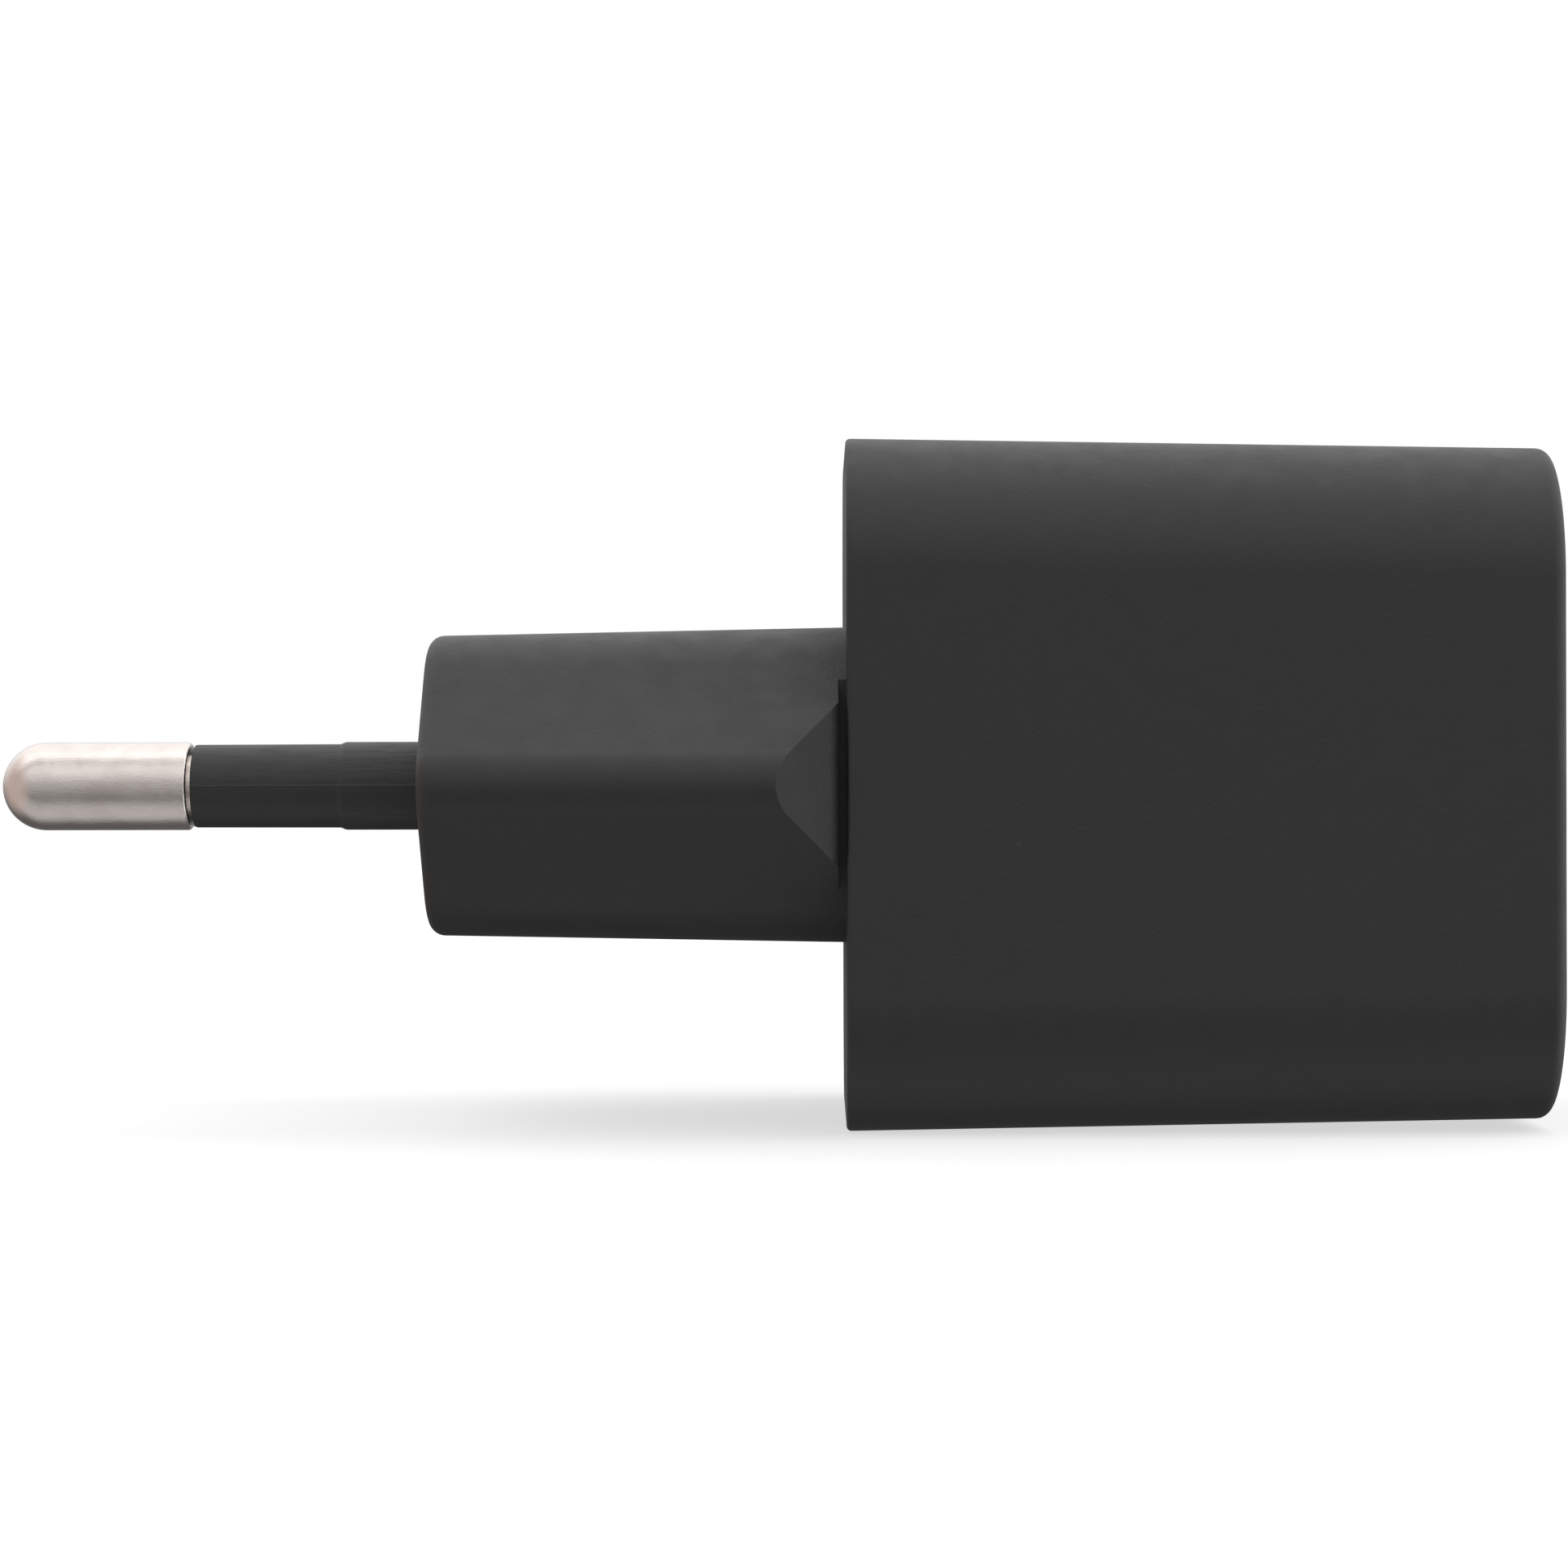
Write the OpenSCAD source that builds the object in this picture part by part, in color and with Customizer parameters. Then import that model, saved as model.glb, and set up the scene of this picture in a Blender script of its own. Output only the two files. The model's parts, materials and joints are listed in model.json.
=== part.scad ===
// Wall charger with a two-pin plug on a six-sided stem and one USB-C socket.
// +X runs from the wall into the room, the two pins lie side by side along Y, and +Z is up.
// The origin is the middle of the engagement face, midway between the pins. Units are millimetres.

/* [Plug pins] */
// Distance between the pin axes at the engagement face
pin_pitch = 18.6; // [18.4:0.1:18.8]
// Distance between the pin axes at the tips
tip_pitch = 17.5; // [17:0.1:18]
// Length of a pin in front of the engagement face
pin_len = 19.5; // [18.5:0.1:19.5]
// Diameter of the bare metal
pin_d = 4; // [3.94:0.02:4.06]
// Length of the insulated stretch of a pin
sleeve_len = 10.7; // [10:0.1:11]
// Diameter of the insulating sleeve
sleeve_d = 3.8; // [3.6:0.05:3.8]
// Length of the thicker collar at the root of the sleeve
collar_len = 3.95; // [3:0.05:5]

/* [Stem] */
// Length of the stem from the engagement face to the back of the body
stem_len = 18.9; // [18:0.1:20]
// Height of the stem at the engagement face
stem_h = 13.6; // [13:0.1:13.8]
// Width of the stem at the engagement face, measured to its sharp side edges
stem_w = 37; // [36.6:0.1:37.2]
// Radius of the stem's two side edges
stem_side_r = 2; // [1.5:0.1:2.4]
// Radius of the stem's four edges beside its top and bottom
stem_knee_r = 5.5; // [4:0.1:6]
// Draft angle of the stem, in degrees
stem_draft = 1.05; // [0.5:0.05:1.2]
// Radius round the rim of the engagement face
face_r = 0.7; // [0.4:0.1:1]

/* [Body] */
// Length of the body
body_len = 31.9; // [31.5:0.1:34]
// Width and height of the body at its back
body_w = 31.4; // [31.2:0.1:32]
// Draft angle of the body's sides, in degrees
body_draft = 0.853; // [0.5:0.001:1]
// Radius of the body's four long edges
corner_r = 6; // [5.8:0.1:6.5]
// Radius round the front face
front_r = 0.8; // [0.4:0.1:1.2]
// Wall thickness
wall = 1.8; // [1.6:0.1:1.9]

/* [Port] */
// Inner width of the socket's metal liner
port_w = 8.34; // [8.34:0.01:8.4]
// Inner height of the socket's metal liner
port_h = 2.56; // [2.56:0.01:2.62]
// Play round the liner in the front wall
port_play = 0.13; // [0.1:0.01:0.2]

/* [Hidden] */
$fn = 48;
hull_fn = 32;
skin = 0.01;       // thickness of the slices that a smooth form is stretched over
over = 0.5;        // how far a cutter runs past what it cuts
far = 30;          // reach of a cutter beyond the whole object
LINE = 1;          // side of the line pin, along Y
NEUTRAL = -1;      // side of the neutral pin

// colours
charcoal = [0.19, 0.19, 0.2];
soft_black = [0.12, 0.12, 0.12];
nickel = [0.72, 0.7, 0.68];
steel = [0.6, 0.61, 0.63];
brass = [0.8, 0.66, 0.33];
copper = [0.76, 0.42, 0.22];
solder = [0.78, 0.79, 0.8];
board_green = [0.1, 0.32, 0.2];
ferrite = [0.22, 0.21, 0.22];
tape_yellow = [0.85, 0.68, 0.2];
chip_black = [0.1, 0.1, 0.11];
ceramic_blue = [0.15, 0.38, 0.65];
bobbin_black = [0.14, 0.13, 0.13];

// plug
tilt = asin((pin_pitch - tip_pitch) / 2 / pin_len);
pin_r = pin_d / 2;
core_r = 1.4;          // metal inside the sleeve
sleeve_taper = 0.015;  // how much thinner the sleeve is at its metal end
seat_s = 4.5;          // depth at which the pin's flange seats, along the pin
flange_t = 1.35;
flange_r = 3;
tail_r = 0.8;          // riveted tail that holds the contact strip
tail_s = 8.1;
strip_t = 0.5;
strip_w = 3;
rivet_r = 1.3;
rivet_t = 0.5;
boss_r = 3.6;
bore_play = 0.05;
relief_r = 2.25;       // shallow relief round each pin in the engagement face
relief_depth = 0.3;

// stem
face_wall = 2.4;
stem_wall = 1.8;
neck_w = 0.36;         // groove between the stem and the body
neck_half = 14.3;      // half width at the bottom of the groove
neck_x = stem_len - neck_w;
chamfer_half = 15.35;  // half width where the stem's base chamfer meets the groove
hollow_half = 12.9;    // half width of the stem's hollow
retainer_x = 6;
retainer_t = 2;
screw_r = 0.95;
screw_head_r = 1.9;
screw_head_t = 1.3;
screw_len = 5;

// body
body_front = stem_len + body_len;
back_r = 0.22;
rim_w = 1.1;
plate_t = 2;
plate_half = body_w / 2 - rim_w;
plate_r = corner_r - rim_w;
fit = 0.05;
skirt_len = 1;
skirt_t = 1.2;
cavity_x0 = stem_len + plate_t;
cavity_r = corner_r - wall;
front_rim = 1.3;
panel_t = 1.9;
panel_sink = 0.1;      // how far the front panel sits below the rim
panel_x1 = body_front - panel_sink;
cavity_x1 = panel_x1 - panel_t;
panel_half = body_half(body_front) - front_rim;
panel_r = corner_r - front_rim;
collar_t = 2.5;

// main board, lying flat low in the body
board_t = 1.2;
board_half = 13;
board_x0 = 22.3;
board_x1 = 47.6;
board_z = -10.6;                     // underside
board_top = board_z + board_t;
lead_r = 0.3;
lead_end = board_z - 0.7;            // clipped ends of the leads
rail_t = 1;
rail_y = 12.4;

// output board, standing across the body behind the socket
output_x = 40.2;
output_half = 12.9;
output_top = 11.5;
foot_half = rail_y - 0.1;            // its foot stands between the ledges
foot_h = 1.2;
output_front = output_x + board_t;

// components behind the output board
strip_leg_s = 22.9;
choke_x = 24.9;
choke_z = -3.2;
choke_mean_r = 3.6;
choke_section = 2.4;
choke_turns = 12;
choke_turn_r = 2.05;
choke_wire_r = 0.25;
choke_leads = [for (dx = [-1.5, 1.5], y = [-choke_mean_r, choke_mean_r]) [choke_x + dx, y]];
fuse_x = 26;
fuse_y = 9.9;
fuse_r = 1.8;
fuse_h = 7;
fuse_hairpin = 2.5;
fuse_leads = [[fuse_x, fuse_y], [fuse_x + fuse_hairpin, fuse_y]];
varistor_x = 25.1;
varistor_y = -10.2;
varistor_leads = [for (dy = [-1.6, 1.6]) [varistor_x, varistor_y + dy]];
bridge_x0 = 29.6;
bridge_y = 10.4;
bridge_leads = [for (i = [0:3]) [bridge_x0 + 1 + 2 * i, bridge_y]];
safety_x = 31.1;
safety_y = -10.4;
safety_leads = [for (dx = [-2.5, 2.5]) [safety_x + dx, safety_y]];
bulk_r = 3.9;
bulk_len = 20;
bulk_z = 9;
bulk_rear_x = 27.2;
bulk_front_x = 35.2;
bulk_lead_y = [-10.5, -11.6];
bulk_leads = [for (x = [bulk_rear_x, bulk_front_x], y = bulk_lead_y) [x, y]];

// transformer
trafo_x = 33.3;
core_y = 8.2;          // half length of the core
core_depth = 6.4;
core_z0 = -9;
core_z1 = 4.6;
core_plate = 2.6;
core_leg = 1.8;
core_split = (core_z0 + core_z1) / 2;
post_r = 3;
bobbin_z0 = core_z0 + core_plate + 0.1;
bobbin_z1 = core_z1 - core_plate - 0.1;
bobbin_r = 6;
flange_h = 0.8;
primary_r = 4.65;
wire_r = 0.39;
wire_pitch = 0.81;
secondary_turns = 7;
terminal_dx = 4.6;
terminals = [for (dx = [-terminal_dx, terminal_dx], y = [-4, 0, 4]) [trafo_x + dx, y]];
tape_t = 0.15;

// components in front of the output board
output_cap_r = 3.15;
output_cap_h = 9;
output_cap_x = 45.2;
output_cap_y = 8.8;
output_leads = [for (s = [-1, 1], dy = [-1.25, 1.25]) [output_cap_x, s * output_cap_y + dy]];

joint_spots = concat(choke_leads, fuse_leads, varistor_leads, bridge_leads, safety_leads,
                     bulk_leads, terminals, output_leads);

// socket
liner_t = 0.3;
liner_x1 = panel_x1 - 0.15;
tongue_half = 3.345;
tongue_t = 0.7;
tongue_x1 = liner_x1 - 0.65;
insulator_x1 = liner_x1 - 6.3;
contact_pitch = 0.5;
contact_w = 0.25;
contact_t = 0.06;
window_w = port_w + 2 * (liner_t + port_play);
window_h = port_h + 2 * (liner_t + port_play);
window_chamfer = 0.35;

function body_half(x) = body_w / 2 - (x - stem_len) * tan(body_draft);

// ---------------------------------------------------------------- shared shapes

// Carries a flat drawing in Y and Z along +X.
module along_x(length) {
    rotate([90, 0, 90]) linear_extrude(length) children();
}

// A round bar along X.
module bar_x(r, x0, x1) {
    translate([x0, 0, 0]) rotate([0, 90, 0]) cylinder(r = r, h = x1 - x0);
}

// A block from its lowest to its highest corner.
module block(low, high) {
    translate(low) cube(high - low);
}

// A square with rounded corners, centred.
module rounded_square(size, r) {
    square([size, size - 2 * r], center = true);
    square([size - 2 * r, size], center = true);
    for (y = [-1, 1], z = [-1, 1])
        translate([y, z] * (size / 2 - r)) circle(r = r);
}

// A slot outline with round ends.
module slot_outline(w, h) {
    square([w - h, h], center = true);
    for (side = [-1, 1])
        translate([side * (w - h) / 2, 0]) circle(d = h);
}

// Puts its children in a pin's own frame, whose +X runs inwards along the pin.
module at_pin(side) {
    translate([0, side * pin_pitch / 2, 0]) rotate([0, 0, side * tilt]) children();
}

// Turns a half profile drawn as radius and distance along the pin.
module turned() {
    rotate([0, 90, 0]) rotate_extrude() children();
}

// A thin slice of the stem at x, drawn in from its surface by inset.
module stem_slice(x, inset) {
    half_h = stem_h / 2 + x * tan(stem_draft);
    apex = stem_w / 2 + x * tan(stem_draft) * sqrt(2);
    translate([x, 0, 0]) along_x(skin) hull()
        for (side = [1, -1]) {
            translate([side * (apex - stem_side_r * sqrt(2)), 0]) circle(stem_side_r - inset, $fn = hull_fn);
            for (up = [1, -1])
                translate([side * (apex - half_h - stem_knee_r * tan(22.5)), up * (half_h - stem_knee_r)])
                    circle(stem_knee_r - inset, $fn = hull_fn);
        }
}

// The whole stem, with its draft and the radius round its face.
module stem_form() {
    hull() {
        for (a = [0:22.5:90])
            stem_slice(face_r * (1 - sin(a)), face_r * (1 - cos(a)));
        stem_slice(stem_len + over, 0);
    }
}

// A thin slice of the body at x, drawn in from its surface by inset.
module body_slice(x, inset) {
    translate([x, 0, 0]) along_x(skin)
        rounded_square(2 * (body_half(x) - inset), corner_r - inset, $fn = hull_fn);
}

// The body's outer form, with small radii round its back and front faces.
module body_form() {
    hull() {
        for (a = [0:45:90])
            body_slice(stem_len + back_r * (1 - sin(a)), back_r * (1 - cos(a)));
        for (a = [0:22.5:90])
            body_slice(body_front - skin - front_r * (1 - sin(a)), front_r * (1 - cos(a)));
    }
}

// A wire lead standing in the main board at spot, up to height top.
module lead(spot, top) {
    translate([spot[0], spot[1], lead_end]) cylinder(r = lead_r, h = top - lead_end);
}

// ---------------------------------------------------------------- housings and plug

// Four walls in one moulding, with a recess at each end for the back plate and the front panel.
module main_housing() color(charcoal) {
    difference() {
        union() {
            difference() {
                body_form();
                hull() {
                    body_slice(cavity_x0 - over, wall);
                    body_slice(cavity_x1 + over, wall);
                }
            }
            board_rails();
        }
        translate([stem_len - over, 0, 0]) along_x(plate_t + over)
            rounded_square(2 * (plate_half + fit), plate_r + fit);
        translate([cavity_x1, 0, 0]) along_x(far)
            rounded_square(2 * (panel_half + fit), panel_r + fit);
    }
}

// Inset front panel with the socket's window and a collar behind it.
module front_panel() color(charcoal) {
    difference() {
        union() {
            translate([cavity_x1, 0, 0]) along_x(panel_x1 - cavity_x1)
                rounded_square(2 * panel_half, panel_r);
            translate([cavity_x1 - collar_t, 0, 0]) along_x(collar_t + over)
                square([11, 6.2], center = true);
        }
        translate([cavity_x1 - collar_t - over, 0, 0]) along_x(far) slot_outline(window_w, window_h);
        hull() for (x = [0, window_chamfer])
            translate([panel_x1 - window_chamfer + x, 0, 0]) along_x(skin, $fn = hull_fn)
                slot_outline(window_w + 2 * x, window_h + 2 * x);
    }
}

// Ledges on the side walls that hold the edges of both boards.
module board_rails() {
    for (side = [-1, 1]) {
        for (z = [board_z - rail_t - fit, board_top + fit])
            rail(side, [22.6, z], [cavity_x1, z + rail_t]);
        for (x = [output_x - rail_t - fit, output_front + fit])
            rail(side, [x, -8], [x + rail_t, 8]);
    }
}

// One ledge: low and high are its corners in X and Z.
module rail(side, low, high) {
    y0 = side > 0 ? rail_y : -rail_y - 1.7;
    block([low[0], y0, low[1]], [high[0], y0 + 1.7, high[1]]);
}

// Back plate and stem in one moulding, with the bosses that carry the pins.
module plug_housing() color(charcoal) {
    difference() {
        union() {
            difference() {
                union() {
                    difference() {
                        stem_form();
                        for (side = [-1, 1]) base_cut(side);
                    }
                    translate([stem_len, 0, 0]) along_x(plate_t)
                        rounded_square(2 * plate_half, plate_r);
                    translate([cavity_x0 - over, 0, 0]) along_x(skirt_len + over) skirt_outline();
                }
                translate([face_wall, 0, 0]) along_x(far) stem_hollow_outline();
            }
            for (side = [LINE, NEUTRAL])
                at_pin(side) bar_x(boss_r, face_wall - over, retainer_x - 0.1);
            bar_x(2.4, face_wall - over, retainer_x);
        }
        bar_x(screw_r + bore_play, retainer_x - screw_len + 1, retainer_x + over);
        for (side = [LINE, NEUTRAL]) at_pin(side) {
            bar_x(pin_r + bore_play, -over, seat_s + over);
            bar_x(flange_r + bore_play, seat_s, retainer_x + over);
        }
        for (side = [LINE, NEUTRAL])
            translate([0, side * pin_pitch / 2, 0]) bar_x(relief_r, -over, relief_depth);
    }
}

// Ring that centres the back plate inside the walls.
module skirt_outline() {
    size = 2 * (body_half(cavity_x0 + skirt_len) - wall - fit);
    difference() {
        rounded_square(size, cavity_r - fit);
        rounded_square(size - 2 * skirt_t, cavity_r - fit - skirt_t);
    }
}

// The stem's hollow: a six-sided section with its side corners cut off.
module stem_hollow_outline() {
    half_h = stem_h / 2 - stem_wall;
    apex = stem_w / 2 - stem_wall * sqrt(2);
    polygon([
        for (s = [1, -1]) each [
            [s * hollow_half, -s * (apex - hollow_half)], [s * hollow_half, s * (apex - hollow_half)],
            [s * (apex - half_h), s * half_h], [-s * (apex - half_h), s * half_h],
        ]
    ]);
}

// Chamfer and neck groove that step the stem's side ridge in to the body.
module base_cut(side) {
    translate([0, 0, -far / 2]) linear_extrude(far) polygon([
        [neck_x - (far - chamfer_half), side * far], [neck_x, side * chamfer_half],
        [neck_x, side * neck_half], [far, side * neck_half], [far, side * far],
    ]);
}

// Plate behind the pin flanges, held by one screw.
module pin_retainer() color(soft_black) {
    difference() {
        translate([retainer_x, 0, 0]) along_x(retainer_t)
            square([2 * hollow_half - 0.2, 5.8], center = true);
        for (side = [LINE, NEUTRAL])
            at_pin(side) bar_x(core_r + 0.2, retainer_x - over, retainer_x + retainer_t + over);
        bar_x(screw_r + 0.15, retainer_x - over, retainer_x + retainer_t + over);
    }
}

// Pan-head screw with a cross recess.
module retainer_screw() color(steel) {
    head_x = retainer_x + retainer_t;
    difference() {
        union() {
            bar_x(screw_r, head_x - screw_len, head_x + 0.1);
            bar_x(screw_head_r, head_x, head_x + screw_head_t);
        }
        for (turn = [0, 90]) translate([head_x + screw_head_t, 0, 0]) rotate([turn, 0, 0])
            cube([1.4, 0.5, 2.2], center = true);
    }
}

// Round-tipped metal pin: bare end, thin core, flange and riveted tail.
module metal_pin(side) color(nickel) at_pin(side) turned() intersection() {
    translate([0, -far]) square([far, 2 * far]);
    union() {
        translate([0, pin_r - pin_len]) circle(r = pin_r);
        translate([-pin_r, pin_r - pin_len]) square([pin_d, pin_len - pin_r - sleeve_len]);
        translate([-core_r, -sleeve_len - 0.1]) square([2 * core_r, tail_s + sleeve_len + 0.1]);
        translate([-flange_r, seat_s]) square([2 * flange_r, flange_t]);
        translate([-tail_r, tail_s - 0.1]) square([2 * tail_r, strip_t + 0.2]);
        translate([-rivet_r, tail_s + strip_t]) square([2 * rivet_r, rivet_t]);
    }
}

module pin_line() metal_pin(LINE);

module pin_neutral() metal_pin(NEUTRAL);

// Insulating sleeve with a thicker collar at its root.
module pin_sleeve(side) color(soft_black) at_pin(side) turned() {
    polygon([
        [core_r, -sleeve_len], [sleeve_d / 2 - sleeve_taper, -sleeve_len],
        [sleeve_d / 2, -collar_len], [core_r, -collar_len],
    ]);
    translate([core_r, -collar_len]) square([pin_r - core_r, collar_len + seat_s]);
}

module sleeve_line() pin_sleeve(LINE);

module sleeve_neutral() pin_sleeve(NEUTRAL);

// Bent brass strip from a pin's riveted tail to its slot in the main board.
module contact_strip(side) color(brass) at_pin(side) {
    half_w = strip_w / 2;
    difference() {
        block([tail_s, -half_w, -2], [tail_s + strip_t, half_w, 2]);
        bar_x(tail_r + 0.02, tail_s - over, tail_s + strip_t + over);
    }
    block([tail_s, -half_w, -2.5], [strip_leg_s + strip_t, half_w, -2]);
    block([strip_leg_s, -half_w, lead_end], [strip_leg_s + strip_t, half_w, -2]);
}

module contact_strip_line() contact_strip(LINE);

module contact_strip_neutral() contact_strip(NEUTRAL);

// ---------------------------------------------------------------- boards

// Flat board with a hole for every lead and a slot for each contact strip.
module main_board() color(board_green) {
    difference() {
        block([board_x0, -board_half, board_z], [board_x1, board_half, board_top]);
        for (spot = joint_spots)
            translate([spot[0], spot[1], board_z - over])
                cylinder(r = lead_r + 0.05, h = board_t + 2 * over);
        for (side = [LINE, NEUTRAL]) at_pin(side)
            block([strip_leg_s - 0.05, -strip_w / 2 - 0.05, board_z - over],
                  [strip_leg_s + strip_t + 0.05, strip_w / 2 + 0.05, board_top + over]);
    }
}

// Board across the body that carries the socket.
module output_board() color(board_green) {
    difference() {
        union() {
            block([output_x, -output_half, board_top + foot_h], [output_front, output_half, output_top]);
            block([output_x, -foot_half, board_top], [output_front, foot_half, board_top + foot_h + over]);
        }
        translate([output_x - over, 0, 0]) along_x(board_t + 2 * over) {
            liner_tabs(0.05);
            for (y = link_spots) translate([y, board_top + 1.5]) circle(r = lead_r + 0.05);
        }
    }
}

link_spots = [-4.5, -1.5, 1.5, 4.5];

// Right-angle pins that join the two boards.
module board_link_pins() color(brass) {
    for (y = link_spots) translate([0, y, board_top + 1.5]) {
        bar_x(lead_r, output_x - 0.4, output_front + 1.5);
        translate([output_front + 1.2, 0, lead_r - 1.5]) cylinder(r = lead_r, h = 1.5);
    }
}

// Solder cones under the main board, one round each lead.
module solder_joints() color(solder) {
    for (spot = joint_spots) translate([spot[0], spot[1], lead_end + 0.1]) difference() {
        cylinder(r1 = 0.4, r2 = 0.65, h = board_z - lead_end - 0.1);
        translate([0, 0, -over]) cylinder(r = lead_r, h = 2);
    }
}

// ---------------------------------------------------------------- mains side

// Upright fuse with its upper lead bent over and down.
module fuse() color([0.25, 0.35, 0.3]) {
    top = board_top + 1 + fuse_h;
    translate([fuse_x, fuse_y, board_top + 1]) cylinder(r = fuse_r, h = fuse_h);
    lead(fuse_leads[0], top + 1.2);
    lead(fuse_leads[1], top + 1.2);
    translate([0, fuse_y, top + 1.2]) bar_x(lead_r, fuse_x - lead_r, fuse_x + fuse_hairpin + lead_r);
}

// Disc varistor on two leads.
module varistor() color([0.1, 0.3, 0.5]) {
    translate([varistor_x - 1.2, varistor_y, board_top + 4.6]) bar_x(3, 0, 2.4);
    for (spot = varistor_leads) lead(spot, board_top + 3);
}

// Ferrite ring of the interference choke, standing with its axis along X.
module choke_core() color(ferrite) {
    translate([choke_x, 0, choke_z]) turned()
        translate([choke_mean_r, 0]) square(choke_section, center = true);
}

// Two halves of copper turns round the ring, with four leads.
module choke_windings() color(copper) {
    translate([choke_x, 0, choke_z]) for (i = [0:choke_turns - 1]) {
        turn = 360 / choke_turns * (i + 0.5);
        rotate([turn, 0, 0]) translate([0, choke_mean_r, 0])
            rotate_extrude() translate([choke_turn_r, 0]) circle(r = choke_wire_r);
    }
    for (spot = choke_leads) lead(spot, board_top + 1.4);
}

// Flat four-lead bridge rectifier.
module bridge_rectifier() color(chip_black) {
    block([bridge_x0, bridge_y - 1.5, board_top + 0.8], [bridge_x0 + 8, bridge_y + 1.5, board_top + 6.8]);
    for (spot = bridge_leads) lead(spot, board_top + 1);
}

// Electrolytic capacitor lying across the body, both leads bent down from one end.
module bulk_capacitor(x) color(chip_black) {
    translate([x, -bulk_len / 2, bulk_z]) rotate([-90, 0, 0]) difference() {
        cylinder(r = bulk_r, h = bulk_len);
        translate([0, 0, bulk_len - 0.3]) cylinder(r = bulk_r - 0.7, h = 1);
        translate([0, 0, 2]) rotate_extrude() translate([bulk_r + 0.2, 0]) circle(r = 0.5);
    }
    for (i = [0, 1]) {
        z = bulk_z + 1.6 * (2 * i - 1);
        translate([x, bulk_lead_y[i] - lead_r, z]) rotate([-90, 0, 0])
            cylinder(r = lead_r, h = lead_r - bulk_len / 2 - bulk_lead_y[i] + 0.1);
        lead([x, bulk_lead_y[i]], z);
    }
}

module bulk_capacitor_rear() bulk_capacitor(bulk_rear_x);

module bulk_capacitor_front() bulk_capacitor(bulk_front_x);

// A surface-mount package with a row of legs on two sides; size is along X, Y and Z.
module leaded_chip(centre, size, legs, pitch) {
    translate(centre) {
        cube(size, center = true);
        for (side = [-1, 1], i = [0:legs - 1]) {
            x = (i - (legs - 1) / 2) * pitch;
            y = side * (size[1] / 2 + 0.3);
            translate([x, y, 0]) cube([0.35, 0.8, 0.2], center = true);
        }
    }
}

// Power switch and controller under the main board.
module primary_controller() color(chip_black)
    leaded_chip([trafo_x, 0, board_z - 0.5], [6, 4.4, 1], 5, 1.1);

// Disc capacitor that bridges the safety gap.
module safety_capacitor() color(ceramic_blue) {
    translate([safety_x, safety_y - 1.5, board_top + 4.5]) rotate([-90, 0, 0])
        cylinder(r = 3.2, h = 3);
    for (spot = safety_leads) lead(spot, board_top + 3.4);
}

// Optocoupler on the main board.
module optocoupler() color([0.85, 0.85, 0.83])
    leaded_chip([37.7, -9.9, board_top + 1.05], [2.6, 3.2, 2.1], 2, 1.27);

// ---------------------------------------------------------------- transformer

// One E-shaped ferrite half, plate down, drawn with its plate at z 0 and legs up to height.
module core_half(height) {
    block([-core_depth / 2, -core_y, 0], [core_depth / 2, core_y, core_plate]);
    cylinder(r = post_r, h = height);
    for (side = [-1, 1])
        translate([-core_depth / 2, side * (core_y - core_leg / 2) - core_leg / 2, 0])
            cube([core_depth, core_leg, height]);
}

module core_lower() color(ferrite)
    translate([trafo_x, 0, core_z0]) core_half(core_split - core_z0);

module core_upper() color(ferrite)
    translate([trafo_x, 0, core_z1]) mirror([0, 0, 1]) core_half(core_z1 - core_split);

// Winding former with two flanges and a terminal block on each side.
module bobbin() color(bobbin_black) {
    tube_r = post_r + 0.8;
    difference() {
        union() {
            translate([trafo_x, 0, bobbin_z0]) cylinder(r = tube_r, h = bobbin_z1 - bobbin_z0);
            for (z = [bobbin_z0, bobbin_z1 - flange_h])
                translate([trafo_x, 0, z]) cylinder(r = bobbin_r, h = flange_h);
            for (side = [-1, 1])
                translate([trafo_x + side * terminal_dx, 0, (board_top + bobbin_z0 + flange_h) / 2])
                    cube([1.8, 10, bobbin_z0 + flange_h - board_top], center = true);
        }
        translate([trafo_x, 0, bobbin_z0 - over]) cylinder(r = post_r + 0.1, h = far);
        for (side = [-1, 1])
            translate([trafo_x - far / 2, side * (core_y - 1) - 1.1, bobbin_z0 - 4]) cube([far, 2.2, far]);
        for (spot = terminals)
            translate([spot[0], spot[1], board_top - over]) cylinder(r = lead_r, h = 2.5);
    }
}

// Inner winding, drawn as one solid band of fine wire.
module primary_winding() color(copper)
    translate([trafo_x, 0, bobbin_z0 + flange_h]) difference() {
        height = bobbin_z1 - bobbin_z0 - 2 * flange_h;
        cylinder(r = primary_r, h = height);
        translate([0, 0, -over]) cylinder(r = post_r + 0.8, h = height + 2 * over);
    }

// Outer winding of thick insulated wire, one ring for each turn.
module secondary_winding() color(tape_yellow) {
    first = bobbin_z0 + flange_h + wire_r + 0.1;
    for (i = [0:secondary_turns - 1])
        translate([trafo_x, 0, first + i * wire_pitch]) rotate_extrude()
            translate([primary_r + wire_r + 0.02, 0]) circle(r = wire_r);
}

module transformer_pins() color(solder)
    for (spot = terminals) lead(spot, board_top + 2);

// Tape wrapped once round both core halves.
module core_tape() color(tape_yellow)
    translate([trafo_x - 1.75, 0, core_split]) along_x(3.5) difference() {
        height = core_z1 - core_z0;
        square([2 * (core_y + tape_t), height + 2 * tape_t], center = true);
        square([2 * core_y, height], center = true);
    }

// ---------------------------------------------------------------- barriers and cooling

// Thin sheet between the mains side and the output board.
module insulation_sheet() color([0.9, 0.88, 0.8])
    block([39.3, -12, board_top], [39.6, 12, 11]);

// Flat metal plate along one side wall.
module heat_spreader() color([0.75, 0.76, 0.78])
    block([24, 12.7, -7], [38.9, 13.2, 8]);

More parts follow.
